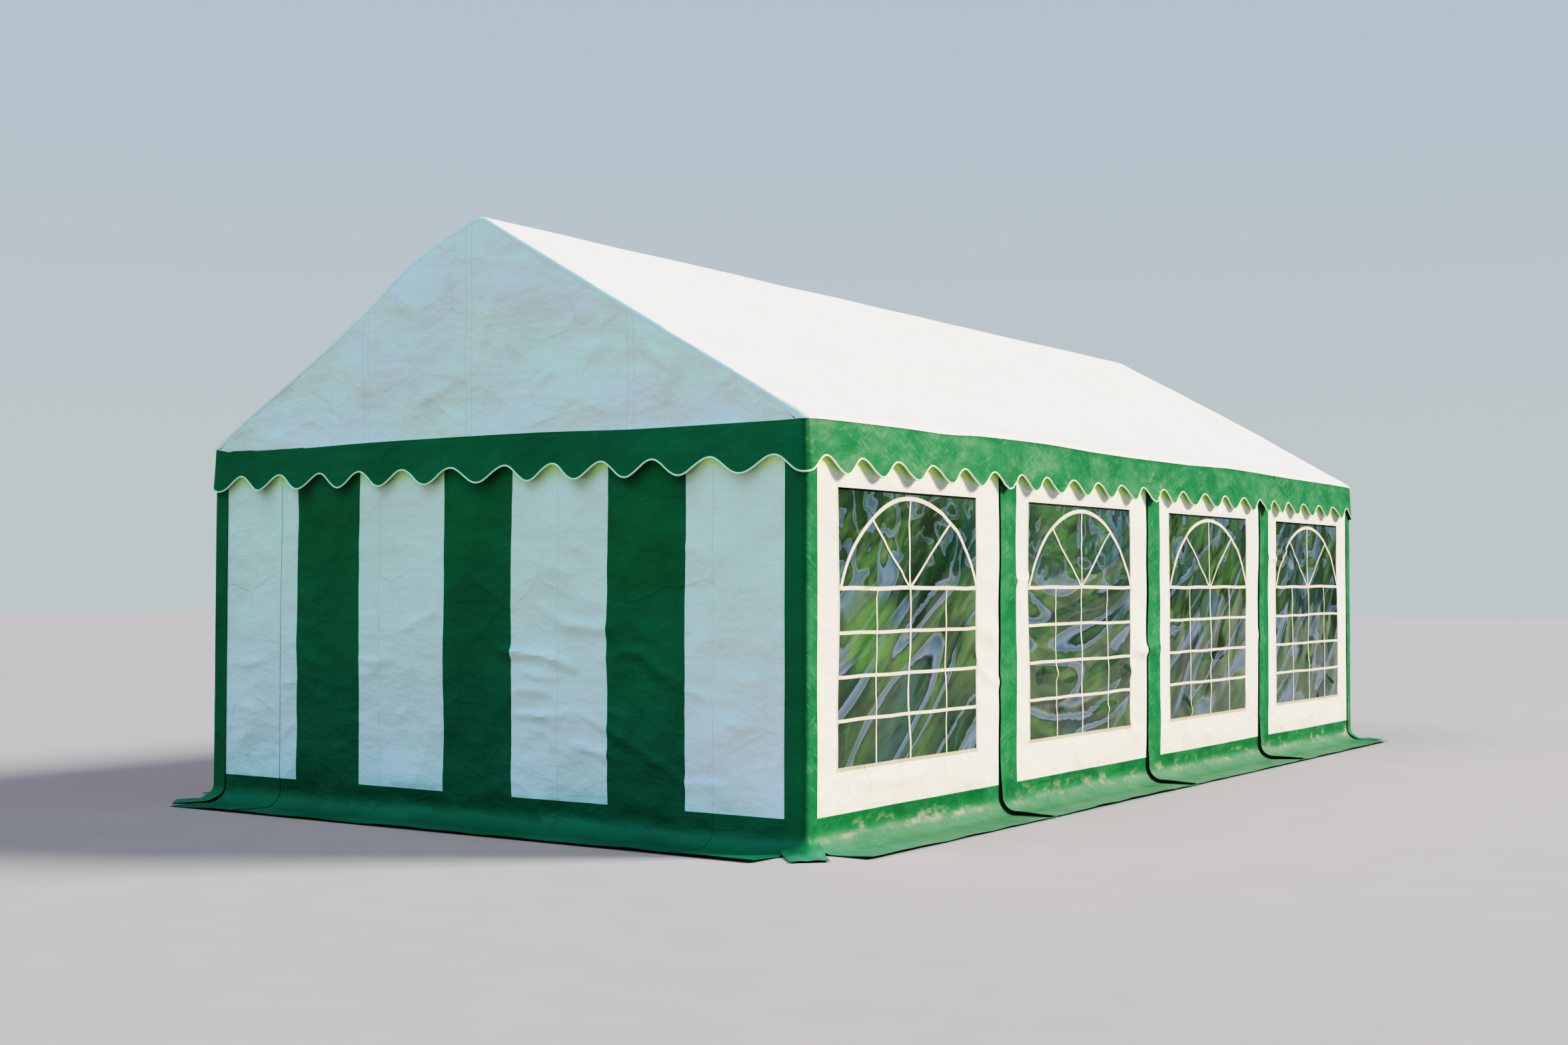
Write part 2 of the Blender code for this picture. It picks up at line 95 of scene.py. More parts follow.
# %% Sizes from the frame
panel_low, panel_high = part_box("side_panel_right_1")
_, door_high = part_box("zip_door_front")
_, cover_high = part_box("roof_cover")
film_low, film_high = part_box("window_right_1")
SHEET = cover_high.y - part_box("gable_back")[0].y  # thickness of every cloth
GAP = 0.0003  # between cloths that lie on each other, and between cloth and steel
HALF_WIDTH = panel_low.x + SHEET
HALF_LENGTH = -door_high.y + SHEET
WALL_TOP = panel_high.z
SKIRT = panel_high.x - HALF_WIDTH
COVER_X = cover_high.x
COVER_Y = cover_high.y
RIDGE = cover_high.z
BAYS = 4
BAY = 2 * HALF_LENGTH / BAYS
DOOR_HALF = door_high.x
CUT = panel_low.y + HALF_LENGTH  # walls stop this far from a corner
WINDOW = (film_low.y + HALF_LENGTH, film_high.y + HALF_LENGTH, film_low.z, film_high.z)
SCALLOP_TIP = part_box("valance_right")[0].z
SCALLOP_DEPTH = 0.082  # from tip to hollow
POSTS_ALONG = [-HALF_LENGTH + BAY * i for i in range(BAYS + 1)]
print(f"walls {2 * HALF_WIDTH:.3f} by {2 * HALF_LENGTH:.3f} m, top {WALL_TOP:.3f} m")
print(f"skirt {SKIRT:.3f} m, sheet {SHEET * 1000:.1f} mm, ridge {RIDGE:.3f} m")

# %% [markdown]
# Hanging cloth is never flat. It needs smooth random hills that give the same answer
# each run. Gradient noise does it: every corner of an invisible grid gets a random
# slope, and between the corners the slopes are blended with a curve that starts and
# ends level.

# %% Smooth hills and soft steps
def hills(x, y, seed):
    """Smooth hills and hollows from about -1 to 1, some to each unit of x and y."""
    size = 64
    angle = np.random.default_rng(seed).uniform(0, 2 * np.pi, (size, size))
    i = np.floor(x).astype(int)
    j = np.floor(y).astype(int)
    u = x - i
    v = y - j

    def slope(di, dj):
        turn = angle[(i + di) % size, (j + dj) % size]
        return np.cos(turn) * (u - di) + np.sin(turn) * (v - dj)

    s = u**3 * (u * (6 * u - 15) + 10)
    t = v**3 * (v * (6 * v - 15) + 10)
    low = slope(0, 0) * (1 - s) + slope(1, 0) * s
    high = slope(0, 1) * (1 - s) + slope(1, 1) * s
    return 1.5 * (low * (1 - t) + high * t)


def rise(x, low, high):
    """0 below low, 1 above high and a soft step between."""
    t = np.clip((np.asarray(x, float) - low) / (high - low), 0, 1)
    return t * t * (3 - 2 * t)


def spaced(marks, step):
    """Each mark, and between them equal steps no longer than this."""
    parts = [
        np.linspace(a, b, max(1, math.ceil((b - a) / step - 1e-6)), endpoint=False)
        for a, b in zip(marks, marks[1:])
    ]
    return np.append(np.concatenate(parts), marks[-1])


def bell(x, width):
    """1 at 0, falling smoothly to about a third at this width."""
    return np.exp(-((x / width) ** 2))


def swell(x, y, seed):
    """Smooth hills from about 0 to 1."""
    return 0.5 + 0.5 * hills(x, y, seed)


def arc(x):
    """0 at 0 and 1, and one rounded rise between."""
    return np.sin(np.pi * np.clip(x, 0, 1))


def walked(line):
    """How far each point of a line is from its start, along the line."""
    return np.concatenate([[0], np.cumsum(np.hypot(*np.diff(line, axis=0).T))])


def layers(sizes, x, y, seed):
    """Hills of several sizes on top of each other, each (height, along x, along y, start)."""
    return sum(
        height * hills(x * often_x + start, y * often_y, seed + k)
        for k, (height, often_x, often_y, start) in enumerate(sizes)
    )


def soft_line(points, at, shifts):
    """Heights along a line through points, rounded by averaging a few shifted places."""
    places, heights = np.array(points).T
    return sum(np.interp(at + shift, places, heights) for shift in shifts) / len(shifts)


print("hills at three spots:", np.round(hills(np.array([0.3, 1.7, 5.2]), 0.4, 1), 3))

# %% [markdown]
# A sheet of cloth is two grids of points, its outer face and its inner face, joined by
# a rim round every free edge. A solidify modifier could make the second face, but here
# the window cut-outs and the laps need control of both, so the mesh is built at once
# from arrays. The rim is found by asking which edges only one face uses.

# %% A thin closed body between two grids
def thin_body(name, outer, inner, keep=None, sharp=40):
    """A closed sheet. keep says which cells of the grid are cloth."""
    rows, columns = outer.shape[:2]
    count = rows * columns
    index = np.arange(count).reshape(rows, columns)
    cells = np.stack([index[:-1, :-1], index[1:, :-1], index[1:, 1:], index[:-1, 1:]], -1)
    front = cells.reshape(-1, 4) if keep is None else cells[keep]
    points = np.concatenate([outer.reshape(-1, 3), inner.reshape(-1, 3)])
    a, b, _, d = points[front].transpose(1, 0, 2)
    facing = np.cross(b - a, d - a) * (points[front[:, 0]] - points[front[:, 0] + count])
    if facing.sum() < 0:
        front = front[:, ::-1]
    edges = np.stack([front, np.roll(front, -1, axis=1)], -1).reshape(-1, 2)
    key = edges[:, 0] * count + edges[:, 1]
    back_key = edges[:, 1] * count + edges[:, 0]
    rim = edges[~np.isin(key, back_key)]
    walls = np.stack([rim[:, 1], rim[:, 0], rim[:, 0] + count, rim[:, 1] + count], -1)
    faces = np.concatenate([front, front[:, ::-1] + count, walls])
    return new_piece(name, points, faces, sharp)


def new_piece(name, points, faces, sharp=40):
    """An object from points and four-cornered faces, smooth up to an angle."""
    used, faces = np.unique(faces, return_inverse=True)
    faces = faces.reshape(-1, 4)
    mesh = bpy.data.meshes.new(name)
    mesh.vertices.add(len(used))
    mesh.vertices.foreach_set("co", points[used].astype(np.float32).ravel())
    mesh.loops.add(faces.size)
    mesh.loops.foreach_set("vertex_index", faces.astype(np.int32).ravel())
    mesh.polygons.add(len(faces))
    mesh.polygons.foreach_set("loop_start", np.arange(0, faces.size, 4, dtype=np.int32))
    mesh.update(calc_edges=True)
    mesh.validate()
    mesh.shade_smooth()
    mesh.set_sharp_from_angle(angle=math.radians(sharp))
    piece = bpy.data.objects.new(name, mesh)
    bpy.context.scene.collection.objects.link(piece)
    return piece


def dress(piece, finish, slot, *nodes):
    """Gives a piece its finish, sets it on the frame and puts it in place of solids."""
    piece.data.materials.append(finish)
    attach(piece, "root")
    if nodes:
        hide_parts(*nodes)
    return piece


patch = np.array([[[0.0, 0.0, 0.0], [0.0, 1.0, 0.0]], [[1.0, 0.0, 0.0], [1.0, 1.0, 0.0]]])
patch = thin_body("patch", patch, patch - (0.0, 0.0, SHEET))
print("a square patch of cloth has", len(patch.data.polygons), "faces")
bpy.data.meshes.remove(patch.data)

# %% [markdown]
# ## Finishes
# Node trees are hard to read as lists of links. A small class wraps one socket, and
# Python's own operators add the nodes: `1 - mask` becomes a Math node, and a colour
# times a number becomes a Mix node. Then a finish reads like a formula. The nodes could
# also be added one by one and linked, but that takes ten lines for one of these.

# %% Sockets as numbers
MIX_SOCKETS = {"VALUE": (2, 3, 0), "RGBA": (6, 7, 2)}  # both inputs and the output


def joined(operation, swapped=False):
    """A method that joins a wire and another value by a node."""

    def join_both(self, other):
        pair = (other, self) if swapped else (self, other)
        return self.both(operation, *pair)

    return join_both


class Wire:
    """A node's output that can be used in expressions."""

    __add__, __radd__ = joined("ADD"), joined("ADD", swapped=True)
    __sub__, __rsub__ = joined("SUBTRACT"), joined("SUBTRACT", swapped=True)
    __mul__, __rmul__ = joined("MULTIPLY"), joined("MULTIPLY", swapped=True)
    __truediv__ = joined("DIVIDE")
    __mod__ = joined("FLOORED_MODULO")
    __gt__ = joined("GREATER_THAN")
    __lt__ = joined("LESS_THAN")
    most = joined("MAXIMUM")

    def __init__(self, tree, socket):
        self.tree = tree
        self.socket = socket

    def node(self, kind, settings=None, sockets=None, output=0):
        """Any node: its type, its settings, then the values or links of its sockets."""
        made = self.tree.nodes.new(kind)
        for name, value in (settings or {}).items():
            if name == "stops":
                set_stops(made.color_ramp.elements, value)
            else:
                setattr(made, name, value)
        for key, value in (sockets or {}).items():
            connect(self.tree, value, made.inputs[key])
        return Wire(self.tree, made.outputs[output])

    def both(self, operation, first, second):
        """The Math, Vector Math or Mix node that the kinds of two values ask for."""
        kinds = {kind_of(first), kind_of(second)}
        if "RGBA" in kinds:
            settings = {"data_type": "RGBA", "blend_type": operation}
            return self.node("ShaderNodeMix", settings, {0: 1.0, 6: first, 7: second}, 2)
        kind = "ShaderNodeVectorMath" if "VECTOR" in kinds else "ShaderNodeMath"
        return self.node(kind, {"operation": operation}, {0: first, 1: second})

    def __abs__(self):
        return self.node("ShaderNodeMath", {"operation": "ABSOLUTE"}, {0: self})

    def wave(self, length):
        """A sine of this wavelength."""
        turned = self * (2 * math.pi / length)
        return self.node("ShaderNodeMath", {"operation": "SINE"}, {0: turned})

    def rise(self, low, high):
        """0 below low, 1 above high and a soft step between."""
        settings = {"interpolation_type": "SMOOTHSTEP"}
        sockets = {"Value": self, "From Min": low, "From Max": high}
        return self.node("ShaderNodeMapRange", settings, sockets)

    def pick(self, first, second):
        """first where this is 0, second where it is 1."""
        kind = "RGBA" if "RGBA" in {kind_of(first), kind_of(second)} else "VALUE"
        a, b, out = MIX_SOCKETS[kind]
        settings = {"data_type": "FLOAT" if kind == "VALUE" else kind}
        return self.node("ShaderNodeMix", settings, {0: self, a: first, b: second}, out)

    def parts(self):
        """A vector's X, Y and Z."""
        split = self.node("ShaderNodeSeparateXYZ", None, {0: self}).socket.node
        return [Wire(self.tree, output) for output in split.outputs]


def set_stops(elements, stops):
    """Gives a colour ramp its stops, each a place and a colour."""
    while len(elements) < len(stops):
        elements.new(0.5)
    for element, (place, colour) in zip(elements, stops):
        element.position = place
        element.color = colour


def kind_of(value):
    if isinstance(value, Wire):
        return "VALUE" if value.socket.type == "INT" else value.socket.type
    if isinstance(value, (int, float)):
        return "VALUE"
    return {3: "VECTOR", 4: "RGBA"}[len(value)]


def connect(tree, value, socket):
    """Links a wire to a socket, or sets the socket's own value."""
    if isinstance(value, Wire):
        tree.links.new(value.socket, socket)
    elif isinstance(value, (int, float)) and socket.type == "VECTOR":
        socket.default_value = (value, value, value)
    elif isinstance(value, (int, float)) and socket.type == "RGBA":
        socket.default_value = (value, value, value, 1.0)
    else:
        socket.default_value = value


def new_finish(name):
    """A material, its Principled shader and the point being shaded, in metres."""
    finish = bpy.data.materials.new(name)
    finish.use_nodes = True
    tree = finish.node_tree
    spot = Wire(tree, tree.nodes.new("ShaderNodeTexCoord").outputs["Object"])
    return finish, tree.nodes["Principled BSDF"], spot


def feed(shader, **inputs):
    for name, value in inputs.items():
        connect(shader.id_data, value, shader.inputs[name.replace("_", " ")])


def clouds(spot, scale, detail=3.0):
    """Soft noise from 0 to 1, with about this many clouds to a metre."""
    sockets = {"Vector": spot, "Scale": scale, "Detail": detail}
    return spot.node("ShaderNodeTexNoise", None, sockets)


def facets(spot, scale):
    """Cones round scattered points: where two meet there is a crease."""
    return spot.node("ShaderNodeTexVoronoi", None, {"Vector": spot, "Scale": scale})


def raised(spot, height):
    """A normal for a surface with this height in metres."""
    return spot.node("ShaderNodeBump", None, {"Strength": 1.0, "Distance": 1.0, "Height": height})


def between(value, low, high):
    """1 where a value lies between two limits, else 0."""
    return (value > low) * (value < high)


def line_at(value, place, width):
    """1 where a value has this size, falling to 0 over a width on both sides."""
    return 1 - abs(value - place).rise(0.0, width)


def any_of(masks):
    """The greatest of several masks."""
    return reduce(Wire.most, masks)


patch, _, spot = new_finish("patch")
any_of(line_at(spot.parts()[2], height, 0.1) for height in (0.5, 1.0))
print("two soft lines take", len(patch.node_tree.nodes) - 3, "nodes")
bpy.data.materials.remove(patch)

# %% [markdown]
# The cloth is a woven scrim between two skins of coloured plastic. Close to, the
# threads show through as a fine grid. Further off one sees creases from packing:
# flat facets that meet in sharp lines, which is what Voronoi cones look like when
# they are lit at a low angle. Sun, dust and handling leave pale scuffs on the dark
# green, and a little soil above the ground. On the long sides the pale scuffs and
# faded clouds are partly painted sheen as well.

# %% Colours of the cloth
WHITE = (0.80, 0.80, 0.788, 1.0)
GREEN = (0.003, 0.160, 0.078, 1.0)
# pale scuffs and faded clouds on the green: partly worn cloth, partly painted sheen
GREEN_SCUFF_AND_SHEEN = (0.22, 0.41, 0.24, 1.0)
GREEN_FADED_AND_SHEEN = (0.080, 0.265, 0.145, 1.0)
SOIL = (0.46, 0.435, 0.39, 1.0)
DUST = (0.150, 0.285, 0.215, 1.0)
# dry dust on the skirts' bend, partly a painted highlight
DRY_DUST_AND_HIGHLIGHT = (0.40, 0.43, 0.32, 1.0)
PLAIN = (1.0, 1.0, 1.0, 1.0)
BLACK = (0.0, 0.0, 0.0, 1.0)
PAINTED_COOL_LOW = (1.03, 0.958, 1.06, 1.0)  # painted cool light on the whites, low on a gable wall
PAINTED_WARM_HIGH = (0.96, 1.012, 0.950, 1.0)  # and painted warm light high on it
PAINTED_COOL_NEAR_GROUND = (1.060, 1.030, 1.065, 1.0)  # and more painted cool light near the ground
PAINTED_COOL_CLOUDS = (1.00, 0.975, 1.035, 1.0)  # and painted cool and warm light in clouds over the gable triangles
PAINTED_WARM_CLOUDS = (0.970, 1.012, 0.960, 1.0)
THROUGH_GREEN = (0.78, 0.97, 0.36, 1.0)  # light that has passed the valance
GLOW = (0.050, 0.085, 0.012, 1.0)  # and how bright it is on the wall behind
THREAD = 0.0028  # metres from thread to thread
THREAD_HEIGHT = 0.000012
CREASE_HEIGHT = 0.0017
CREASE_SHADE = 0.05
SOILED = (0.10, 0.42)  # soil fades out between these heights
SOIL_SHARE = 0.10
CLOTH_SHINE = 0.22
print("threads to a metre of cloth:", round(1 / THREAD))

# %% [markdown]
# Each kind of wear has a function of its own, which gives a mask or a height at any
# point. The last function adds them up to a finish, so the five cloths of this tent
# differ only in where they are green, how worn they are, which on the long sides
# brings painted sheen too, and how their panels are joined. Light that comes through
# the green valance tints the top of the walls behind it. Real light would take many
# bounces for that, so it is mixed in as a faint glow.

# %% Coated cloth
def crease_lines(spot):
    """1 on thin broken lines where the cloth was folded sharply, else 0."""
    bent = spot + clouds(spot, 2.0, 3.0) * 0.30
    settings = {"feature": "DISTANCE_TO_EDGE"}
    edge = spot.node("ShaderNodeTexVoronoi", settings, {"Vector": bent, "Scale": 3.0})
    return (1 - edge.rise(0.0, 0.050)) * clouds(spot + 7.7, 2.4, 2.0).rise(0.46, 0.66)


def crumple(spot):
    """Height of the flat facets between the packing creases, in metres."""
    bent = spot + clouds(spot, 1.3, 2.0) * 0.35
    patches = clouds(spot + 3.7, 0.9, 1.0).rise(0.35, 0.70)
    soft = clouds(spot * (1.0, 1.0, 1.7), 4.0, 4.0) * 0.012
    return facets(bent, 2.3) * 0.018 + facets(bent + 5.1, 6.0) * 0.0065 * patches + soft


def weave(spot):
    """Height of the threads, in metres."""
    x, y, z = spot.parts()
    return ((x + y).wave(THREAD) + (z + x * 0.5).wave(THREAD)) * THREAD_HEIGHT


def streaks(spot, angle, shift):
    """Fine noise drawn out along a slant, in a few patches."""
    sockets = {"Vector": spot + shift, "Angle": angle}
    turned = spot.node("ShaderNodeVectorRotate", {"rotation_type": "X_AXIS"}, sockets)
    fine = clouds(turned * (5.0, 1.1, 6.0), 10.0, 5.0).rise(0.53, 0.72)
    return fine * clouds(spot + shift, 2.2, 2.0).rise(0.42, 0.60)


def scuffs_and_sheen(spot):
    """Rubbed streaks along two slants: worn cloth and painted sheen."""
    return streaks(spot, 0.7, 1.3).most(streaks(spot, -0.5, 4.1))


def long_side(spot):
    """1 on the long sides' cloth, where wear and painted sheen go, and 0 on the gables'."""
    return abs(spot.parts()[0]).rise(HALF_WIDTH - 0.004, HALF_WIDTH + 0.002)


def green_coat(spot, mottle, wear_and_sheen):
    """The green colour, faded in clouds and scuffed, most on the long sides, partly as painted sheen."""
    # scuffs and faded clouds, partly painted sheen, mostly on the long sides
    worn_and_sheen = long_side(spot) * wear_and_sheen + 0.05
    faded_and_sheen = clouds(spot * (1.0, 1.0, 1.6), 5.2, 6.0).rise(0.36, 0.66)
    leaf = (faded_and_sheen * worn_and_sheen * 1.05).pick(GREEN * (mottle * 0.5 + 0.75), GREEN_FADED_AND_SHEEN)
    return (scuffs_and_sheen(spot) * worn_and_sheen * 0.75).pick(leaf, GREEN_SCUFF_AND_SHEEN)


def white_coat(spot, mottle):
    """The white colour, with a little soil near the ground."""
    z = spot.parts()[2]
    soil = (1 - (z + clouds(spot, 6.0) * 0.25).rise(*SOILED)) * SOIL_SHARE
    return (soil * clouds(spot, 17.0, 4.0)).pick(WHITE * (mottle * 0.10 + 0.93), SOIL)


def coated_cloth(name, green_at, wear_and_sheen, rough, joints=None, tint=None, lit_from=None):
    """green_at gives 1 where the cloth is green; wear adds scuffs and painted sheen; joints is the height
    of its welds.
    """
    finish, shader, spot = new_finish(name)
    green = green_at(spot)
    mottle = clouds(spot, 2.2, 4.0)
    white = white_coat(spot, mottle)
    leaf = green_coat(spot, mottle, wear_and_sheen)
    colour = green.pick(white, leaf) if isinstance(green, Wire) else (leaf if green else white)
    if tint is not None:
        colour = tint(spot, colour)
    creases = crease_lines(spot)
    colour = colour * (1 - creases * CREASE_SHADE)
    height = crumple(spot) * rough + weave(spot) + creases * CREASE_HEIGHT
    if joints is not None:
        height = height + joints(spot)
    feed(shader, Base_Color=colour, Roughness=mottle * 0.16 + 0.44, Normal=raised(spot, height))
    if lit_from is not None:
        through = spot.parts()[2].rise(*lit_from) * (1 - green)
        feed(shader, Emission_Color=through.pick(BLACK, GLOW), Emission_Strength=1.0)
        finish.cycles.emission_sampling = "NONE"  # it is seen, but it lights nothing else
    shader.inputs["Specular IOR Level"].default_value = CLOTH_SHINE
    return finish


trial = coated_cloth("trial", lambda spot: 1, 0.4, 1.0)
print("nodes in a plain green cloth:", len(trial.node_tree.nodes))
bpy.data.materials.remove(trial)

# %% [markdown]
# The colours change where panels of cloth are welded edge over edge. Each finish
# therefore gets a rule for where it is green, written in metres on the real wall: a
# band above the ground, wide stripes on the gable walls, narrow strips over the posts
# on the long sides. No edge is cut dead straight, so soft noise moves it a little.

# %% Where each wall is green
BAND = 0.16  # height of the green band over the ground
STRIPES = ((-1.0, 0.234), (0.848, 1.321))  # green, measured from the middle
STRIP = (-0.088, 0.123)  # green, measured from each post
STRIP_WIDTH = STRIP[1] - STRIP[0]


def unsteady(spot, often, size):
    """Soft noise that moves an edge this much from side to side."""
    return (clouds(spot, *often) - 0.5) * size


def stripe_rule(spot):
    x, _, z = spot.parts()
    from_middle = abs(x) + unsteady(spot, (3.0, 2.0), 0.022)
    return any_of([z < BAND, *(between(from_middle, *stripe) for stripe in STRIPES)])


def past_strip(y):
    """How far a place is past the start of the last strip."""
    return (y + (BAY - STRIP[0])) % BAY


def strip_rule(spot):
    """Strips over the inner posts. The corners have strips of their own."""
    _, y, z = spot.parts()
    over = past_strip(y + unsteady(spot, (3.0, 2.0), 0.018))
    return (z < BAND).most((over < STRIP_WIDTH) * (abs(y) < HALF_LENGTH - 1))


print(f"green above the ground {BAND} m, strips {STRIP_WIDTH:.3f} m, stripes {STRIPES}")

# %% [markdown]
# Where two panels are welded, one laps over the other and stands up half a millimetre.
# The laps run along the edges of the green and round the film, and a wider hem runs
# along the skirts. Roof and gable triangles are white all over, so only their seams
# show. The striped walls keep two upright creases from the way they were packed.

# %% Welds, seams and packing creases
LAP = 0.012  # width of a welded lap
WELD = 0.0006  # how far a lap stands up
HEM = 0.026  # width of the hem along the skirts' outer edge
BORDER = 0.018  # width of the clear film's welded border
GABLE_SEAMS = (-0.795, -0.06, 0.99)
SEAM_HALF = 0.019
SEAM_HEIGHT = 0.0010
ROOF_WELD = 0.0008
PACKING = (-0.70, 0.535)  # upright packing creases of the striped walls
PACKING_HEIGHT = 0.0022


def hem(spot):
    """The welded hem along the skirts' outer edge."""
    x, y, z = spot.parts()
    outer = (abs(x) > HALF_WIDTH + SKIRT - HEM).most(abs(y) > HALF_LENGTH + SKIRT - HEM)
    return outer * (z < 0.06)


def packing_lines(spot, width):
    x = spot.parts()[0] + unsteady(spot, (1.5, 1.0), 0.03)
    return any_of(line_at(x, crease, width) for crease in PACKING)


def stripe_welds(spot):
    x, _, z = spot.parts()
    from_middle = abs(x)
    edges = (STRIPES[0][1], *STRIPES[1])
    upright = (between(from_middle, edge - LAP, edge) for edge in edges)
    laps = any_of([between(z, BAND - LAP, BAND), hem(spot), *upright])
    return laps * WELD + packing_lines(spot, 0.012) * PACKING_HEIGHT


def border_mask(spot):
    """1 on the windows and on the welded border round each, else 0."""
    _, y, z = spot.parts()
    across = (y + HALF_LENGTH) % BAY
    wide = between(across, WINDOW[0] - BORDER, WINDOW[1] + BORDER)
    return wide * between(z, WINDOW[2] - BORDER, WINDOW[3] + BORDER)


def panel_welds(spot):
    _, y, z = spot.parts()
    along_strip = between(past_strip(y), STRIP_WIDTH - LAP, STRIP_WIDTH)
    laps = [between(z, BAND - LAP, BAND), along_strip, border_mask(spot), hem(spot)]
    return any_of(laps) * WELD


def gable_welds(spot):
    """Upright seams of the gable triangle."""
    x = spot.parts()[0]
    return any_of(abs(x - seam) < SEAM_HALF for seam in GABLE_SEAMS) * SEAM_HEIGHT


def past_arch_seam(spot):
    """How far a place is past the start of the last seam across the roof."""
    return (spot.parts()[1] + BAY + LAP) % BAY


def roof_welds(spot):
    """Seams across the roof, one over each arch."""
    return (past_arch_seam(spot) < 2 * LAP) * ROOF_WELD


print(f"laps {LAP * 1000:.0f} mm wide, {WELD * 1000:.1f} mm high; packing creases at {PACKING} m")

# %% [markdown]
# Use, weather and light change the colours too. Dust lies on whatever is nearly level
# near the ground, and on the skirts' bend dry dust carries a painted highlight. The
# walls' whites carry painted light, cool below and warm above, and each seam has a thin
# painted shadow line. These tints go on after the green and white are set. They depend
# on the place on the tent alone, so they stay put when it is seen from elsewhere.

# %% Dust, painted light and shadow lines
BORDER_COLOUR = (0.50, 0.495, 0.43, 1.0)
LINE = 0.0045  # width of a seam's shadow line


def glow(spot, colour, low, high):
    """Green light from the valance on the top of a wall."""
    z = spot.parts()[2]
    return z.rise(low, high).pick(colour, colour * THROUGH_GREEN)


def stripe_tint(spot, colour):
    """Painted cool to warm light on the whites, green light on top, painted shade in packing creases."""
    z = spot.parts()[2]
    # painted light: cool low on the wall and near the ground, warm high on it
    drift = z.rise(0.15, 1.55).pick(PAINTED_COOL_LOW, PAINTED_WARM_HIGH)
    colour = colour * drift * z.rise(0.2, 0.9).pick(PAINTED_COOL_NEAR_GROUND, PLAIN)
    colour = glow(spot, colour, 1.70, 1.89)
    return colour * (1 - packing_lines(spot, 0.005) * 0.07)


def panel_tint(spot, colour):
    """The window's border, strongest below, dust on the skirt with a painted highlight on its bend, and
    green light on top.
    """
    z = spot.parts()[2]
    strength = (z > WINDOW[3]).pick((z < WINDOW[2]).pick(0.5, 1.0), 0.2)
    colour = (border_mask(spot) * strength).pick(colour, BORDER_COLOUR)
    lying = 1 - (z + clouds(spot, 11.0, 4.0) * 0.05).rise(0.045, 0.150)
    colour = (lying * 0.46).pick(colour, DUST)
    # pale patches on the skirt's bend: dry dust and a painted highlight
    dry_and_highlight = clouds(spot * (1.0, 1.0, 2.0) + 2.3, 8.0, 6.0).rise(0.51, 0.68)
    dry_and_highlight = dry_and_highlight * z.rise(0.03, 0.06) * (1 - z.rise(0.09, 0.155))
    colour = (dry_and_highlight * 0.50).pick(colour, DRY_DUST_AND_HIGHLIGHT)
    return glow(spot, colour, 1.75, 1.83)


def foot_tint(spot, colour):
    """Dust that lies on the corner strips' feet."""
    z = spot.parts()[2]
    lying = (1 - z.rise(0.012, 0.050)) * clouds(spot + 1.7, 7.0, 4.0).rise(0.30, 0.62)
    return (lying * 0.60).pick(colour, DUST)


def gable_tint(spot, colour):
    """A painted shadow line along both edges of each seam, and clouds of painted cool and warm light."""
    x = spot.parts()[0]
    lines = any_of(line_at(abs(x - seam), SEAM_HALF, LINE) for seam in GABLE_SEAMS)
    # painted light: cool and warm clouds over the white
    drift = clouds(spot * (1.0, 1.0, 1.5), 1.9, 4.0).rise(0.34, 0.64)
    return colour * (1 - lines * 0.14) * drift.pick(PAINTED_COOL_CLOUDS, PAINTED_WARM_CLOUDS)


def roof_tint(spot, colour):
    """A shadow line along both edges of each seam."""
    over = past_arch_seam(spot)
    lines = any_of(line_at(over, edge, LINE) for edge in (0.0, 2 * LAP))
    return colour * (1 - lines * 0.07)


print(f"seams with a shadow line: {len(GABLE_SEAMS)} on a gable, {BAYS + 1} on the roof")

# %% [markdown]
# Now the five cloths. White cloth on the roof and the gable triangles is worn least,
# green cloth on the long sides most, and there its wear is partly painted sheen. How
# strongly a cloth is crumpled depends on how tightly it hangs: the roof is stretched,
# the striped walls hang free.

# %% The five cloths
roof_cloth = coated_cloth("roof_cloth", lambda spot: 0, 0.0, 1.1, roof_welds, roof_tint)
gable_cloth = coated_cloth("gable_cloth", lambda spot: 0, 0.0, 2.7, gable_welds, gable_tint)
green_cloth = coated_cloth("green_cloth", lambda spot: 1, 0.42, 1.0, None, foot_tint)
striped_cloth = coated_cloth(
    "striped_cloth", stripe_rule, 0.02, 2.0, stripe_welds, stripe_tint, (1.75, 1.87)
)
panel_cloth = coated_cloth(
    "panel_cloth", strip_rule, 0.42, 1.3, panel_welds, panel_tint, (1.71, 1.80)
)
print("cloths:", [m.name for m in (roof_cloth, gable_cloth, green_cloth, striped_cloth, panel_cloth)])

# %% [markdown]
# The windows are soft clear film. It is shiny, it ripples, and seen from the bright
# side it looks dark because little light comes back from inside. It lets a little of
# the frame and the far windows show. Its ripples draw what it mirrors out into
# streaks, so what it mirrors and shows through is painted into the film's colour:
# soft greens with pale streaks over them and a bright patch, fixed to the film. Two
# colour ramps over slanting noise give them.

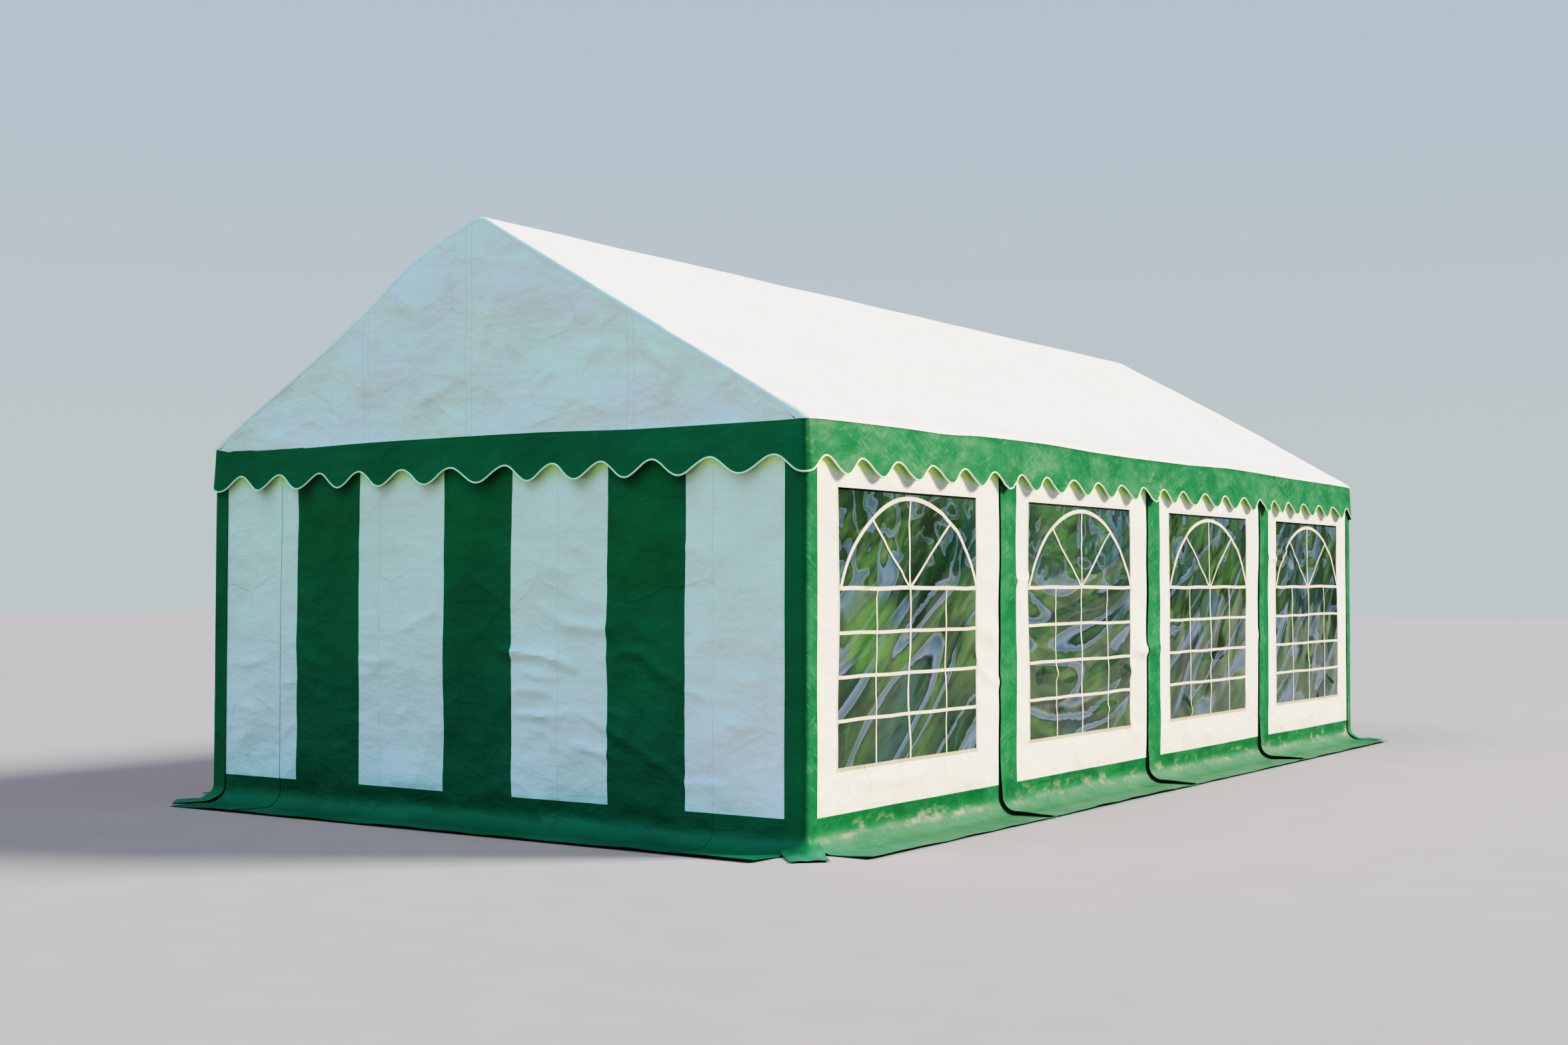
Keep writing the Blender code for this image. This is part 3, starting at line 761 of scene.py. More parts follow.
# %% Colours painted on the film: what it mirrors and shows through
# painted reflection and painted view through the film, as its colours
DEEP = (0.002, 0.067, 0.014, 1.0)
OLIVE = (0.044, 0.108, 0.034, 1.0)
MOSS = (0.078, 0.176, 0.050, 1.0)
BRIGHT = (0.100, 0.265, 0.052, 1.0)
TEAL = (0.036, 0.110, 0.105, 1.0)
SLATE = (0.105, 0.180, 0.290)
PALE_SLATE = (0.200, 0.310, 0.500)
OUTLINE = (0.250, 0.350, 0.350)
DARK = (0.003, 0.006, 0.003)
HAZE = (0.130, 0.160, 0.185, 1.0)
PAINTED_GREENS = ((0.30, DEEP), (0.42, OLIVE), (0.52, MOSS), (0.60, OLIVE), (0.70, TEAL))
PAINTED_STREAKS = (  # place, colour, and how much of it covers the greens
    (0.375, DARK, 0.0),
    (0.385, DARK, 0.75),
    (0.395, OUTLINE, 0.80),
    (0.405, SLATE, 0.85),
    (0.430, PALE_SLATE, 0.90),
    (0.442, DARK, 0.7),
    (0.455, DARK, 0.0),
    (0.492, DARK, 0.0),
    (0.498, OUTLINE, 0.45),
    (0.504, DARK, 0.0),
    (0.552, OUTLINE, 0.0),
    (0.562, OUTLINE, 0.75),
    (0.575, SLATE, 0.85),
    (0.620, PALE_SLATE, 0.90),
    (0.632, DARK, 0.85),
    (0.652, DARK, 0.0),
)
GRID_MIDDLE = 0.967  # where the windows' upright bar stands, across the bay
SEEN_THROUGH_PATCH = (-3.44, 1.02, 0.32, 0.26)  # the bright patch of painted view through the far windows: y, z and its half sizes
LEAN = (-8, -33)  # degrees that the streaks lean, and those of the second window
BOW = 0.28  # and how much these hang through
print("streaks are made of", len(PAINTED_STREAKS), "stops over", len(PAINTED_GREENS), "greens")

# %% [markdown]
# The streaks lean, and in the second window they hang through as well. So the point
# being shaded is first turned, and bent for that window, and the noise is asked at the
# turned point. The streaks are one band of noise read through a ramp, whose alpha says
# how much of the green they cover. The normal follows the same band, so gloss and
# colour bend together.

# %% Film of the windows
def slanted(spot, bay):
    """The point turned so that noise drawn out along it leans as the streaks do."""
    x, y, z = spot.parts()
    second = between(bay, 1.0, 2.0)
    lean = second.pick(math.radians(LEAN[1]), math.radians(LEAN[0]))
    aside = (y + HALF_LENGTH) % BAY - GRID_MIDDLE
    sockets = {0: x, 1: y, 2: z - aside * aside * second * BOW}
    bowed = spot.node("ShaderNodeCombineXYZ", None, sockets)
    sockets = {"Vector": bowed, "Angle": lean}
    return spot.node("ShaderNodeVectorRotate", {"rotation_type": "X_AXIS"}, sockets)


def painted_view_patch(spot):
    """1 in a soft oval of painted view through the far windows, 0 outside it."""
    _, y, z = spot.parts()
    off_y = (y - SEEN_THROUGH_PATCH[0]) / SEEN_THROUGH_PATCH[2]
    off_z = (z - SEEN_THROUGH_PATCH[1]) / SEEN_THROUGH_PATCH[3]
    return 1 - (off_y * off_y + off_z * off_z).rise(0.2, 1.1)


def painted_film_greens(spot, turned, patch):
    """The painted greens of what the film mirrors and shows through, under the streaks."""
    greens = clouds(turned * (1.0, 0.6, 1.1) + 4.4, 2.0, 1.5)
    ground = spot.node("ShaderNodeValToRGB", {"stops": PAINTED_GREENS}, {"Fac": greens})
    bright = (patch * 0.85).most(clouds(spot + 8.1, 1.7, 1.0).rise(0.60, 0.72) * 0.5)
    ground = bright.pick(ground, BRIGHT)
    threads = clouds(turned * (1.0, 0.35, 2.2) + clouds(spot, 9.0, 2.0) * 0.10, 9.0, 4.0)
    return ground * (threads.rise(0.30, 0.66) * 0.70 + 0.55)


def clear_film():
    finish, shader, spot = new_finish("clear_film")
    _, y, z = spot.parts()
    bay = (y + HALF_LENGTH) / BAY
    turned = slanted(spot, bay)
    waves = turned * (1.0, 0.26, 1.35)
    flow = waves + clouds(waves, 2.2, 1.0) * 0.20 + clouds(spot, 16.0, 3.0) * 0.030
    bent = spot + clouds(spot, 3.0, 1.0) * 0.25 + clouds(spot, 14.0, 3.0) * 0.06
    blobbed = z.rise(1.18, 1.42) * (bay > 2.0).pick(1.0, 0.45)
    bands = blobbed.pick(clouds(flow, 2.4, 1.2), clouds(bent, 3.9, 1.5))
    patch = painted_view_patch(spot)
    ground = painted_film_greens(spot, turned, patch)
    # painted reflection: pale streaks over the painted greens
    stops = [(place, (*colour, share)) for place, colour, share in PAINTED_STREAKS]
    streak = spot.node("ShaderNodeValToRGB", {"stops": stops}, {"Fac": bands})
    share = Wire(spot.tree, streak.socket.node.outputs["Alpha"])
    share = share * (clouds(spot + 6.1, 1.9, 1.0).rise(0.30, 0.42) * 0.80 + 0.20)
    share = share * (1 - patch * 0.8) * (1 - blobbed * 0.35)
    picture = share.pick(ground, streak)
    # the painted picture is darker towards the bottom, a little more in the far bays, under a haze
    far_bays = (bay > 2.0).pick(1.0, 0.90)
    picture = picture * z.rise(1.05, 1.30).pick(far_bays * 0.88, 1.0)
    picture = (clouds(waves + 3.3, 3.0, 3.0) * 0.40).pick(picture, HAZE)
    # painted shadow under the window's head
    painted_shadow_under_head = between(z, WINDOW[3] - 0.010, WINDOW[3])
    picture = painted_shadow_under_head.pick(picture, picture * 0.12)
    feed(shader, Base_Color=picture, Roughness=bands * 0.06 + 0.03)
    feed(shader, Normal=raised(spot, bands * 0.010))
    feed(shader, Alpha=0.80, Specular_IOR_Level=0.35, Coat_Weight=0.30, Coat_Roughness=0.02)
    return finish


film = clear_film()
print("nodes in the clear film:", len(film.node_tree.nodes))

# %% [markdown]
# The glazing bars are flat strips of white film and the piping is a white bead, both
# smoother than cloth. The frame is zinc-coated steel tube. Zinc sets in crystals that
# each reflect a little differently, and Voronoi cells with a grey of their own give
# just that. The bolts get the same zinc as a finish of their own.

# %% Bars, piping and steel
def smooth_plastic(name, colour, roughness):
    finish, shader, spot = new_finish(name)
    grime = clouds(spot, 9.0, 4.0)
    dull = tuple(0.86 * c for c in colour[:3]) + (1.0,)
    feed(shader, Base_Color=grime.pick(colour, dull), Roughness=grime * 0.15 + roughness)
    feed(shader, Normal=raised(spot, clouds(spot, 60.0) * 0.0003))
    return finish


def galvanised_steel():
    """Zinc on steel tube: a spangle of grey crystals, duller where it is handled."""
    finish, shader, spot = new_finish("galvanised_steel")
    crystals = spot.node("ShaderNodeTexVoronoi", None, {"Vector": spot, "Scale": 90.0}, 1)
    grey = crystals.parts()[0]
    dull = clouds(spot, 4.0, 5.0)
    shade = grey * 0.14 + dull * 0.18 + 0.42
    feed(shader, Base_Color=shade.pick((0.30, 0.31, 0.32, 1.0), (0.84, 0.86, 0.88, 1.0)))
    feed(shader, Roughness=grey * 0.12 + dull * 0.22 + 0.26)
    feed(shader, Normal=raised(spot, grey * 0.00004))
    shader.inputs["Metallic"].default_value = 0.9
    return finish


bar_white = smooth_plastic("glazing_white", (0.74, 0.73, 0.68, 1.0), 0.38)
# the bead's green-yellow tint is painted light shining through the translucent bead
piping_white = smooth_plastic("piping_white", (0.88, 0.95, 0.76, 1.0), 0.42)
bolt_steel = galvanised_steel()
bolt_steel.name = "bolt_zinc"
steel = galvanised_steel()
for name, node in frame["nodes"].items():
    if name.startswith(("post", "roof_arch", "ridge", "eave", "gable_bar")):
        node.data.materials.clear()
        node.data.materials.append(steel)
print("steel pieces:", sum(steel.name in o.data.materials for o in frame["nodes"].values()))

# %% [markdown]
# ## How a wall hangs
# A wall falls straight from the eave, turns in a bend near the ground and lies out as
# a skirt. Two numbers name any point on it: how far along the wall, and how far down
# the cloth. Everything on that wall, its stripes, its flap, its window, uses the same
# two numbers, so neighbouring pieces meet.

# %% The path of a wall
Side = namedtuple("Side", "name along out depth seed posts")
SIDES = {
    "right": Side("right", (0, 1, 0), (1, 0, 0), HALF_WIDTH, 11, POSTS_ALONG),
    "left": Side("left", (0, 1, 0), (-1, 0, 0), HALF_WIDTH, 23, POSTS_ALONG),
    "front": Side("front", (1, 0, 0), (0, -1, 0), HALF_LENGTH, 37, [-HALF_WIDTH, HALF_WIDTH]),
    "back": Side("back", (1, 0, 0), (0, 1, 0), HALF_LENGTH, 41, [-HALF_WIDTH, HALF_WIDTH]),
}
BEND = 0.097  # radius of the cloth's turn at the foot
STRAIGHT = WALL_TOP - BEND - SHEET  # length of cloth down to the bend
ON_GROUND = STRAIGHT + BEND * math.pi / 2  # and down to where it lies flat
CLOTH_LENGTH = ON_GROUND + SKIRT - BEND
LYING = ON_GROUND - 0.03  # from here on the cloth counts as skirt
UP = np.array((0.0, 0.0, 1.0))


def place(side, along, out, up):
    """Points from distances along a side, out from the tent's middle and up."""
    a, o = np.array(side.along, float), np.array(side.out, float)
    return along[..., None] * a + out[..., None] * o + up[..., None] * UP


def hang(side, along, down, proud):
    """Points of a wall: along it, down the cloth, and proud of its plane."""
    turn = np.clip((down - STRAIGHT) / BEND, 0, math.pi / 2)
    past = np.maximum(down - ON_GROUND, 0)
    out = BEND * (1 - np.cos(turn)) + past + proud * np.cos(turn)
    up = np.where(down < STRAIGHT, WALL_TOP - down, SHEET + BEND * (1 - np.sin(turn)))
    return place(side, along, side.depth + out, up + proud * np.sin(turn))


print(f"each wall is cut {CLOTH_LENGTH:.3f} m long, {ON_GROUND:.3f} m of it above the ground")

# %% [markdown]
# The relief of a wall is what makes it read as cloth. There are three kinds. Broad
# hollows open between the posts. Folds bow downwards where the cloth has spare length,
# and each is drawn here as a line with a height and a width. The skirt lifts off the
# ground in places. At a post the cloth can't go inwards, so the relief is held there.
# A physics run could give this too, but formulas keep the laps, stripes and windows
# together, and they cost nothing.

# %% Lines of the folds
Fold = namedtuple("Fold", "line height width")
FRONT_FOLDS = [
    Fold([(0.11, 0.91), (0.23, 0.89), (0.42, 0.88), (0.56, 0.85), (0.66, 0.81)], 0.013, 0.024),
    Fold([(0.25, 0.8), (0.39, 0.78), (0.55, 0.76)], 0.006, 0.02),
    Fold([(0.23, 0.7), (0.37, 0.7), (0.52, 0.69)], 0.006, 0.02),
    Fold([(0.23, 0.58), (0.37, 0.575), (0.53, 0.575), (0.62, 0.6)], 0.0085, 0.022),
    Fold([(0.54, 0.58), (0.7, 0.594), (0.85, 0.523), (1.07, 0.42), (1.32, 0.3), (1.48, 0.2)], 0.006, 0.02),
    Fold([(0.56, 0.5), (0.61, 0.45), (0.85, 0.4), (0.98, 0.37)], 0.006, 0.02),
    Fold([(0.53, 0.58), (0.5, 0.44), (0.46, 0.3)], 0.005, 0.02),
    Fold([(0.37, 1.15), (0.59, 1.03), (0.84, 1.01), (0.95, 1.03)], 0.009, 0.032),
    Fold([(0.45, 1.32), (0.63, 1.28)], 0.0055, 0.028),
    Fold([(0.6, 1.44), (0.75, 1.38)], 0.0045, 0.024),
    Fold([(0.84, 0.86), (0.95, 0.9), (1.06, 0.9), (1.16, 0.82), (1.32, 0.75)], 0.0075, 0.026),
    Fold([(1.31, 1.42), (1.48, 1.35)], 0.0045, 0.018),
    Fold([(1.35, 1.24), (1.47, 1.25)], 0.004, 0.018),
    Fold([(1.31, 0.74), (1.49, 0.69), (1.6, 0.7)], 0.006, 0.022),
    Fold([(1.5, 0.6), (1.71, 0.55)], 0.0045, 0.02),
    Fold([(1.57, 0.82), (1.66, 0.78), (1.76, 0.79), (1.87, 0.83)], 0.0055, 0.024),
    Fold([(1.32, 0.29), (1.6, 0.29)], 0.0055, 0.02),
    Fold([(-1.9, 0.85), (-1.8, 0.79), (-1.7, 0.78), (-1.51, 0.83)], 0.006, 0.022),
    Fold([(-1.87, 0.59), (-1.74, 0.545), (-1.6, 0.543)], 0.005, 0.02),
    Fold([(-1.88, 0.37), (-1.77, 0.37), (-1.66, 0.41)], 0.005, 0.02),
    Fold([(-1.45, 0.68), (-1.32, 0.7)], 0.004, 0.018),
    Fold([(-1.44, 0.4), (-1.35, 0.45)], 0.004, 0.018),
    Fold([(-0.86, 0.83), (-0.72, 0.81), (-0.6, 0.83)], 0.0045, 0.022),
    Fold([(-0.55, 0.97), (-0.42, 1.04), (-0.27, 1.09)], 0.005, 0.022),
    Fold([(-0.57, 0.53), (-0.46, 0.59)], 0.0045, 0.02),
    Fold([(-0.79, 1.07), (-0.7, 1.04)], 0.004, 0.02),
]
RIGHT_FOLDS = [
    Fold([(-2.32, 0.95), (-2.22, 0.99), (-2.12, 0.93)], 0.011, 0.05),
    Fold([(-0.3, 0.8), (-0.18, 0.84), (-0.1, 0.79)], 0.008, 0.045),
    Fold([(-3.85, 0.62), (-3.76, 0.55)], 0.004, 0.024),
    Fold([(-3.62, 0.31), (-3.2, 0.27), (-2.75, 0.3)], 0.004, 0.03),
]


def chance_folds(seed, count, reach):
    """Folds of the same kind, spread by chance, for the walls that aren't drawn."""
    random = np.random.default_rng(seed)
    folds = []
    for _ in range(count):
        half = random.uniform(0.06, 0.26)
        at = random.uniform(-reach, reach)
        z = random.uniform(0.25, 1.45)
        tilt = random.normal(0, 0.22)
        sag = random.uniform(-0.02, 0.07)
        spread = np.linspace(-1, 1, 5)
        line = [(at + half * s, z + half * tilt * s - sag * (1 - s * s)) for s in spread]
        folds.append(Fold(line, random.uniform(0.003, 0.008), random.uniform(0.018, 0.030)))
    return folds


FOLDS = {
    "front": FRONT_FOLDS,
    "back": chance_folds(5, 26, 1.8),
    "right": RIGHT_FOLDS + chance_folds(6, 18, 3.8),
    "left": chance_folds(7, 22, 3.8),
}
print("folds:", {name: len(folds) for name, folds in FOLDS.items()})

# %% [markdown]
# To turn a drawn fold into relief, each point of the cloth near it asks how far the
# line is. The fold's height falls off with that distance like a bell, and it rises and
# fades along the line. Displacement by a painted image could do this as well, but a
# line of a few points is easier to move.

# %% Relief of a wall
def along_line(line, point):
    """How far points are from a line, and how far along it their nearest place is."""
    reach = walked(line)
    best = np.full(len(point), np.inf)
    where = np.zeros(len(point))
    for k, (a, b) in enumerate(zip(line, line[1:])):
        length = np.hypot(*(b - a))
        t = np.clip((point - a) @ (b - a) / length**2, 0, 1)
        gap = np.hypot(*(point - a - t[:, None] * (b - a)).T)
        closer = gap < best
        best = np.where(closer, gap, best)
        where = np.where(closer, reach[k] + t * length, where)
    return best, where / reach[-1]


def fold_relief(folds, along, up):
    """Soft ridges along the folds' lines, fading out at their ends."""
    total = np.zeros(along.shape)
    for fold in folds:
        line = np.array(fold.line)
        margin = 3 * fold.width
        low, high = line.min(0) - margin, line.max(0) + margin
        near = (along > low[0]) & (along < high[0]) & (up > low[1]) & (up < high[1])
        gap, share = along_line(line, np.stack([along[near], up[near]], -1))
        total[near] += fold.height * arc(share) ** 0.6 * bell(gap, fold.width)
    return total


def to_post(side, along):
    """How far a place is from the nearest post."""
    return np.min([np.abs(along - post) for post in side.posts], axis=0)


WALL_HILLS = ((0.0100, 0.8, 0.6, 7), (0.0055, 2.1, 1.4, 0), (0.0026, 5.5, 4.0, 0))
WALL_FOLDS = 1.75  # how much stronger than drawn the folds are


def wall_relief(side, along, down):
    """How far the upright part stands off its plane, held at posts and corners."""
    corner = rise(side.posts[-1] - np.abs(along), 0.105, 0.30)
    calm = rise(down, 0.05, 0.45) * corner
    body = layers(WALL_HILLS, along, down, side.seed)
    body = body + WALL_FOLDS * fold_relief(FOLDS[side.name], along, WALL_TOP - down)
    nearest = to_post(side, along)
    room = 0.0025 + 0.022 * (1 - bell(nearest, 0.16))
    tuck = -0.008 * bell(down - STRAIGHT - 0.02, 0.06) * rise(nearest, 0.1, 0.4)
    return np.maximum(calm * body, -room) + tuck


def skirt_relief(side, along, down):
    """How far the skirt lifts off the ground."""
    out = np.maximum(down - ON_GROUND, 0) / (SKIRT - BEND)
    edge = swell(along * 1.4 + 3, 0.5, side.seed + 3)
    ripple = swell(along * 4.5, down * 5.0, side.seed + 4)
    lift = 0.001 + out * (0.010 * edge + 0.005 * ripple) + 0.004 * ripple
    if side.name == "front":  # held down by the left corner's foot
        lift = lift * (0.1 + 0.9 * rise(along + HALF_WIDTH, 0.08, 0.45))
    return lift


def relief(side, along, down):
    """How far the cloth stands off its plane."""
    lying = rise(down, STRAIGHT, ON_GROUND)
    return wall_relief(side, along, down) * (1 - lying) + skirt_relief(side, along, down) * lying


sample = relief(SIDES["front"], np.linspace(-1.9, 1.9, 50), np.full(50, 1.1))
print(f"the front wall bows from {sample.min() * 1000:.1f} to {sample.max() * 1000:.1f} mm at mid height")

# %% [markdown]
# ## Gable walls and zipped doors
# Each gable has a wide middle part that rolls up, with a zip on each side, and two
# narrow parts that stay. A short storm flap hides each zip. All of them hang on the
# same path. The skirt is left away near the corner, where the corner strip's foot
# comes out.

# %% Hang the gable walls
STEP_ALONG = 0.020  # size of the grid's cells
STEP_DOWN = 0.018
SKIRT_CUT = 0.075  # skirts stop this far from a corner
LEFT_CUT = 0.19  # and on the left side this far from the front one
FLAP_HALF = 0.017  # half the width of a storm flap
FLAP_IN = -0.006  # from a door's edge to the middle of its flap
FLAP_PROUD = {"left": 0.0030, "right": 0.0014}  # the left one stands open a little
DOWN = spaced([0.0, STRAIGHT - 0.06, ON_GROUND + 0.02, CLOTH_LENGTH], STEP_DOWN)


def middles(grid):
    """The middle of each cell of a grid."""
    return (grid[:-1, :-1] + grid[1:, 1:]) / 2


def cloth_cells(along, down, low=-math.inf, high=math.inf):
    """Which cells are cloth: all of the wall, and its skirt between two places."""
    at = middles(along)
    return (middles(down) < LYING) | ((at > low) & (at < high))


def wall_sheet(name, side, along, proud=0.0, thickness=SHEET, skirt=(-math.inf, math.inf)):
    """A wall between two places along a side, as a closed sheet."""
    a, d = np.meshgrid(along, DOWN, indexing="ij")
    lift = relief(side, a, d) + proud
    grids = [hang(side, a, d, lift), hang(side, a, d, lift - thickness)]
    return thin_body(name, *grids, cloth_cells(a, d, *skirt))


def hang_gable(end, seen_right):
    """seen_right is +1 where the wall's right-hand end, seen from outside, is at +X."""
    side = SIDES[end]
    edge = side.posts[-1] - CUT
    cut = side.posts[-1] - SKIRT_CUT
    low = spaced([-edge, -cut, -DOOR_HALF - GAP], STEP_ALONG)
    high = spaced([DOOR_HALF + GAP, cut, edge], STEP_ALONG)
    names = ("left", "right") if seen_right > 0 else ("right", "left")
    low_cut = -math.inf if end == "front" else -cut  # the front left foot lies over the skirt
    cut_size = (edge - DOOR_HALF, CLOTH_LENGTH)
    for part, along, skirt in zip(names, (low, high), ((low_cut, math.inf), (-math.inf, cut))):
        wall = wall_sheet(f"wall_cloth_{end}_{part}", side, along, skirt=skirt)
        node = f"gable_wall_{end}_{part}"
        dress(wall, striped_cloth, "striped_fabric", node)
    door = wall_sheet(f"door_cloth_{end}", side, spaced([-DOOR_HALF, DOOR_HALF], STEP_ALONG))
    dress(door, striped_cloth, "striped_fabric", f"zip_door_{end}")
    for part, at in zip(names, (FLAP_IN - DOOR_HALF, DOOR_HALF - FLAP_IN)):
        along = spaced([at - FLAP_HALF, at, at + FLAP_HALF], 0.007)
        flap = wall_sheet(f"storm_flap_{end}_{part}", side, along, FLAP_PROUD[part], 0.0012)
        dress(flap, striped_cloth, "striped_fabric")
    print(end, "door", len(door.data.polygons), "faces")


hang_gable("front", 1)
hang_gable("back", -1)

# %% [markdown]
# ## Side panels
# A side panel covers one bay. Its green strip laps over the edge of the panel before
# it, so it stands proud there and steps in beside the post; the strip's free edge
# curls a little and shows a dark line. The window is a hole in the sheet.

# %% Hang the side panels
LAP_BEFORE = 0.083  # a strip reaches this far back over the panel before it
PANEL_SHORT = 0.003  # a panel stops this far before the next post's middle
JOGGLE = (0.006, 0.030)  # where it steps in, past the post
LAP_PROUD = SHEET + GAP


def lap_height(side, across, down):
    """How far a panel stands proud because its strip lies over its neighbour."""
    over = LAP_PROUD * (1 - rise(across, *JOGGLE))
    edge = np.clip(-across / LAP_BEFORE, 0, 1) ** 2
    curl = 0.003 + 0.005 * swell(down * 2.2, 0.3, side.seed + 9)
    low = rise(down, STRAIGHT - 0.25, ON_GROUND - 0.03)
    low = low * (1 - 0.85 * rise(down, ON_GROUND, CLOTH_LENGTH))
    return over + edge * (curl + 0.012 * low)


def panel_sheet(side, number):
    start = POSTS_ALONG[number - 1]
    first = [CUT, SKIRT_CUT, LEFT_CUT] if number == 1 else [-LAP_BEFORE, 0.0, JOGGLE[1]]
    last = [BAY - SKIRT_CUT, BAY - CUT] if number == BAYS else [BAY - PANEL_SHORT]
    across = spaced([*first, WINDOW[0], WINDOW[1], *last], 0.024)
    head = WALL_TOP - WINDOW[3]
    sill = WALL_TOP - WINDOW[2]
    down = spaced([0.0, head, sill, STRAIGHT - 0.06, ON_GROUND + 0.02, CLOTH_LENGTH], 0.021)
    u, d = np.meshgrid(across, down, indexing="ij")
    a = u + start
    lift = relief(side, a, d)
    if number > 1:
        lift = lift + lap_height(side, u, d)
        uneven = 0.007 * hills(d * 2.6, 0.4, side.seed + number)
        a = a + uneven * (1 - rise(u, -LAP_BEFORE, JOGGLE[0]))
    low = (SKIRT_CUT if side.name == "right" else LEFT_CUT) if number == 1 else -math.inf
    high = BAY - SKIRT_CUT if number == BAYS else math.inf
    wide = (middles(u) > WINDOW[0]) & (middles(u) < WINDOW[1])
    tall = (middles(d) > head) & (middles(d) < sill)
    keep = cloth_cells(u, d, low, high) & ~(wide & tall)
    name = f"panel_cloth_{side.name}_{number}"
    panel = thin_body(name, hang(side, a, d, lift), hang(side, a, d, lift - SHEET), keep)
    dress(panel, panel_cloth, "panel_fabric", f"side_panel_{side.name}_{number}")
    return panel


panels = [panel_sheet(SIDES[s], n) for s in ("right", "left") for n in range(1, BAYS + 1)]
print("side panels:", len(panels), "faces in one:", len(panels[0].data.polygons))

# %% [markdown]
# ## Windows
# The film hangs looser than the cloth round it and ripples in long waves, each window
# its own way. The waves die out at the welded border. A modifier could ripple a flat
# sheet, but the glazing bars have to lie on the same ripples, so one function tells
# where any point of a window is.

# %% Hang the film
RIPPLES = {  # of each window: lean in degrees, how many to a metre, height
    1: (52, 7.0, 0.0070),
    2: (14, 6.5, 0.0065),
    3: (62, 7.5, 0.0060),
    4: (68, 7.0, 0.0060),
}
FILM_DEPTH = 0.0008  # the film's face behind the cloth's
FILM_THICKNESS = 0.0010


def from_border(across, z):
    """How far a place on a window is from the border."""
    aside = np.minimum(across - WINDOW[0], WINDOW[1] - across)
    return np.minimum(aside, np.minimum(z - WINDOW[2], WINDOW[3] - z))


def film_relief(side, number, across, z):
    """Ripples of the film inside its border."""
    seed = side.seed * 10 + number
    lean, often, height = RIPPLES[number]
    turn = math.radians(lean)
    forward = across * math.cos(turn) + z * math.sin(turn)
    sideways = -across * math.sin(turn) + z * math.cos(turn)
    wave = hills(sideways * often, forward * 1.3, seed)
    fine = hills(sideways * often * 2.6, forward * 3.4, seed + 5)
    return rise(from_border(across, z), 0.0, 0.16) * height * (wave + 0.28 * fine)


def on_film(side, number, across, z, proud):
    """Points on a window's face."""
    a = across + POSTS_ALONG[number - 1]
    down = WALL_TOP - z
    lift = relief(side, a, down) + film_relief(side, number, across, z) - FILM_DEPTH
    return hang(side, a, down, lift + proud)


def hang_film(side, number):
    across = spaced([WINDOW[0], WINDOW[1]], 0.024)
    up = spaced([WINDOW[2], WINDOW[3]], 0.024)
    u, z = np.meshgrid(across, up, indexing="ij")
    grids = [on_film(side, number, u, z, proud) for proud in (0.0, -FILM_THICKNESS)]
    sheet = thin_body(f"film_{side.name}_{number}", *grids)
    return dress(sheet, film, "clear_film", f"window_{side.name}_{number}")


films = {(s, n): hang_film(SIDES[s], n) for s in ("right", "left") for n in RIPPLES}
print("windows:", len(films), "faces in one:", len(films["right", 1].data.polygons))

# %% [markdown]
# The glazing bars are welded to the film. They are drawn flat first, as lines with a
# width: four level ones, three upright ones, an arch cut from an ellipse and three
# spokes that end on it. Each line becomes a grid of two rows, which is then bent on to
# the film. Curves with a bevel would be quicker, but would not follow the ripples.

# %% Lines of the glazing bars
TOP_BAR = 1.215  # height of the topmost level bar
LEVEL_BARS = ((TOP_BAR, 0.020), (1.005, 0.017), (0.797, 0.017), (0.592, 0.017))
UPRIGHT_BARS = ((0.630, 0.012), (GRID_MIDDLE, 0.015), (1.328, 0.012))
ARCH_MIDDLE = (0.975, 0.950)  # of the ellipse that the arch is cut from
ARCH_HALF = (0.7386, 0.7086)  # half its width and height
ARCH_WIDTH = 0.022
SPOKES = (39.0, 90.0, 139.0)  # degrees
SPOKE_WIDTH = 0.014
BAR_THICKNESS = 0.0012
BAR_LIFT = 0.00015  # each bar lies this much over the one before, so none share a face


def heading(turn):
    """The direction at this angle."""
    return np.array((math.cos(turn), math.sin(turn)))


def bar_lines():
    """Each bar as (points, width)."""
    lines = [([(WINDOW[0], z), (WINDOW[1], z)], width) for z, width in LEVEL_BARS]
    lines += [([(u, WINDOW[2]), (u, TOP_BAR)], width) for u, width in UPRIGHT_BARS]
    middle, half = np.array(ARCH_MIDDLE), np.array(ARCH_HALF)
    foot = math.asin((TOP_BAR - middle[1]) / half[1])
    turns = np.linspace(math.pi - foot, foot, 49)
    lines.append(([middle + half * heading(t) for t in turns], ARCH_WIDTH))
    start = np.array((GRID_MIDDLE, TOP_BAR))
    for spoke in SPOKES:
        way = heading(math.radians(spoke))
        share, shift = way / half, (start - middle) / half
        lean = share @ shift
        size = share @ share
        far = (math.sqrt(lean**2 + size * (1 - shift @ shift)) - lean) / size
        lines.append(([start, start + way * far], SPOKE_WIDTH))
    return lines


def strip_grid(points, width, step=0.014):
    """A flat strip along a line, as two rows of (across, up)."""
    points = np.array(points, float)
    reach = walked(points)
    at = spaced([0.0, reach[-1]], step)
    line = np.stack([np.interp(at, reach, points[:, k]) for k in (0, 1)], -1)
    tangent = np.gradient(line, axis=0)
    tangent /= np.hypot(*tangent.T)[:, None]
    normal = np.stack([-tangent[:, 1], tangent[:, 0]], -1)
    return np.stack([line - normal * width / 2, line + normal * width / 2], 1)


print("bars of a window:", len(bar_lines()))

# %% [markdown]
# The soft film draws its bars a little out of line, less towards the border. The bars
# of one window are joined to one piece. Blender's join operator needs a selection, so
# the meshes' points and faces are put together directly.

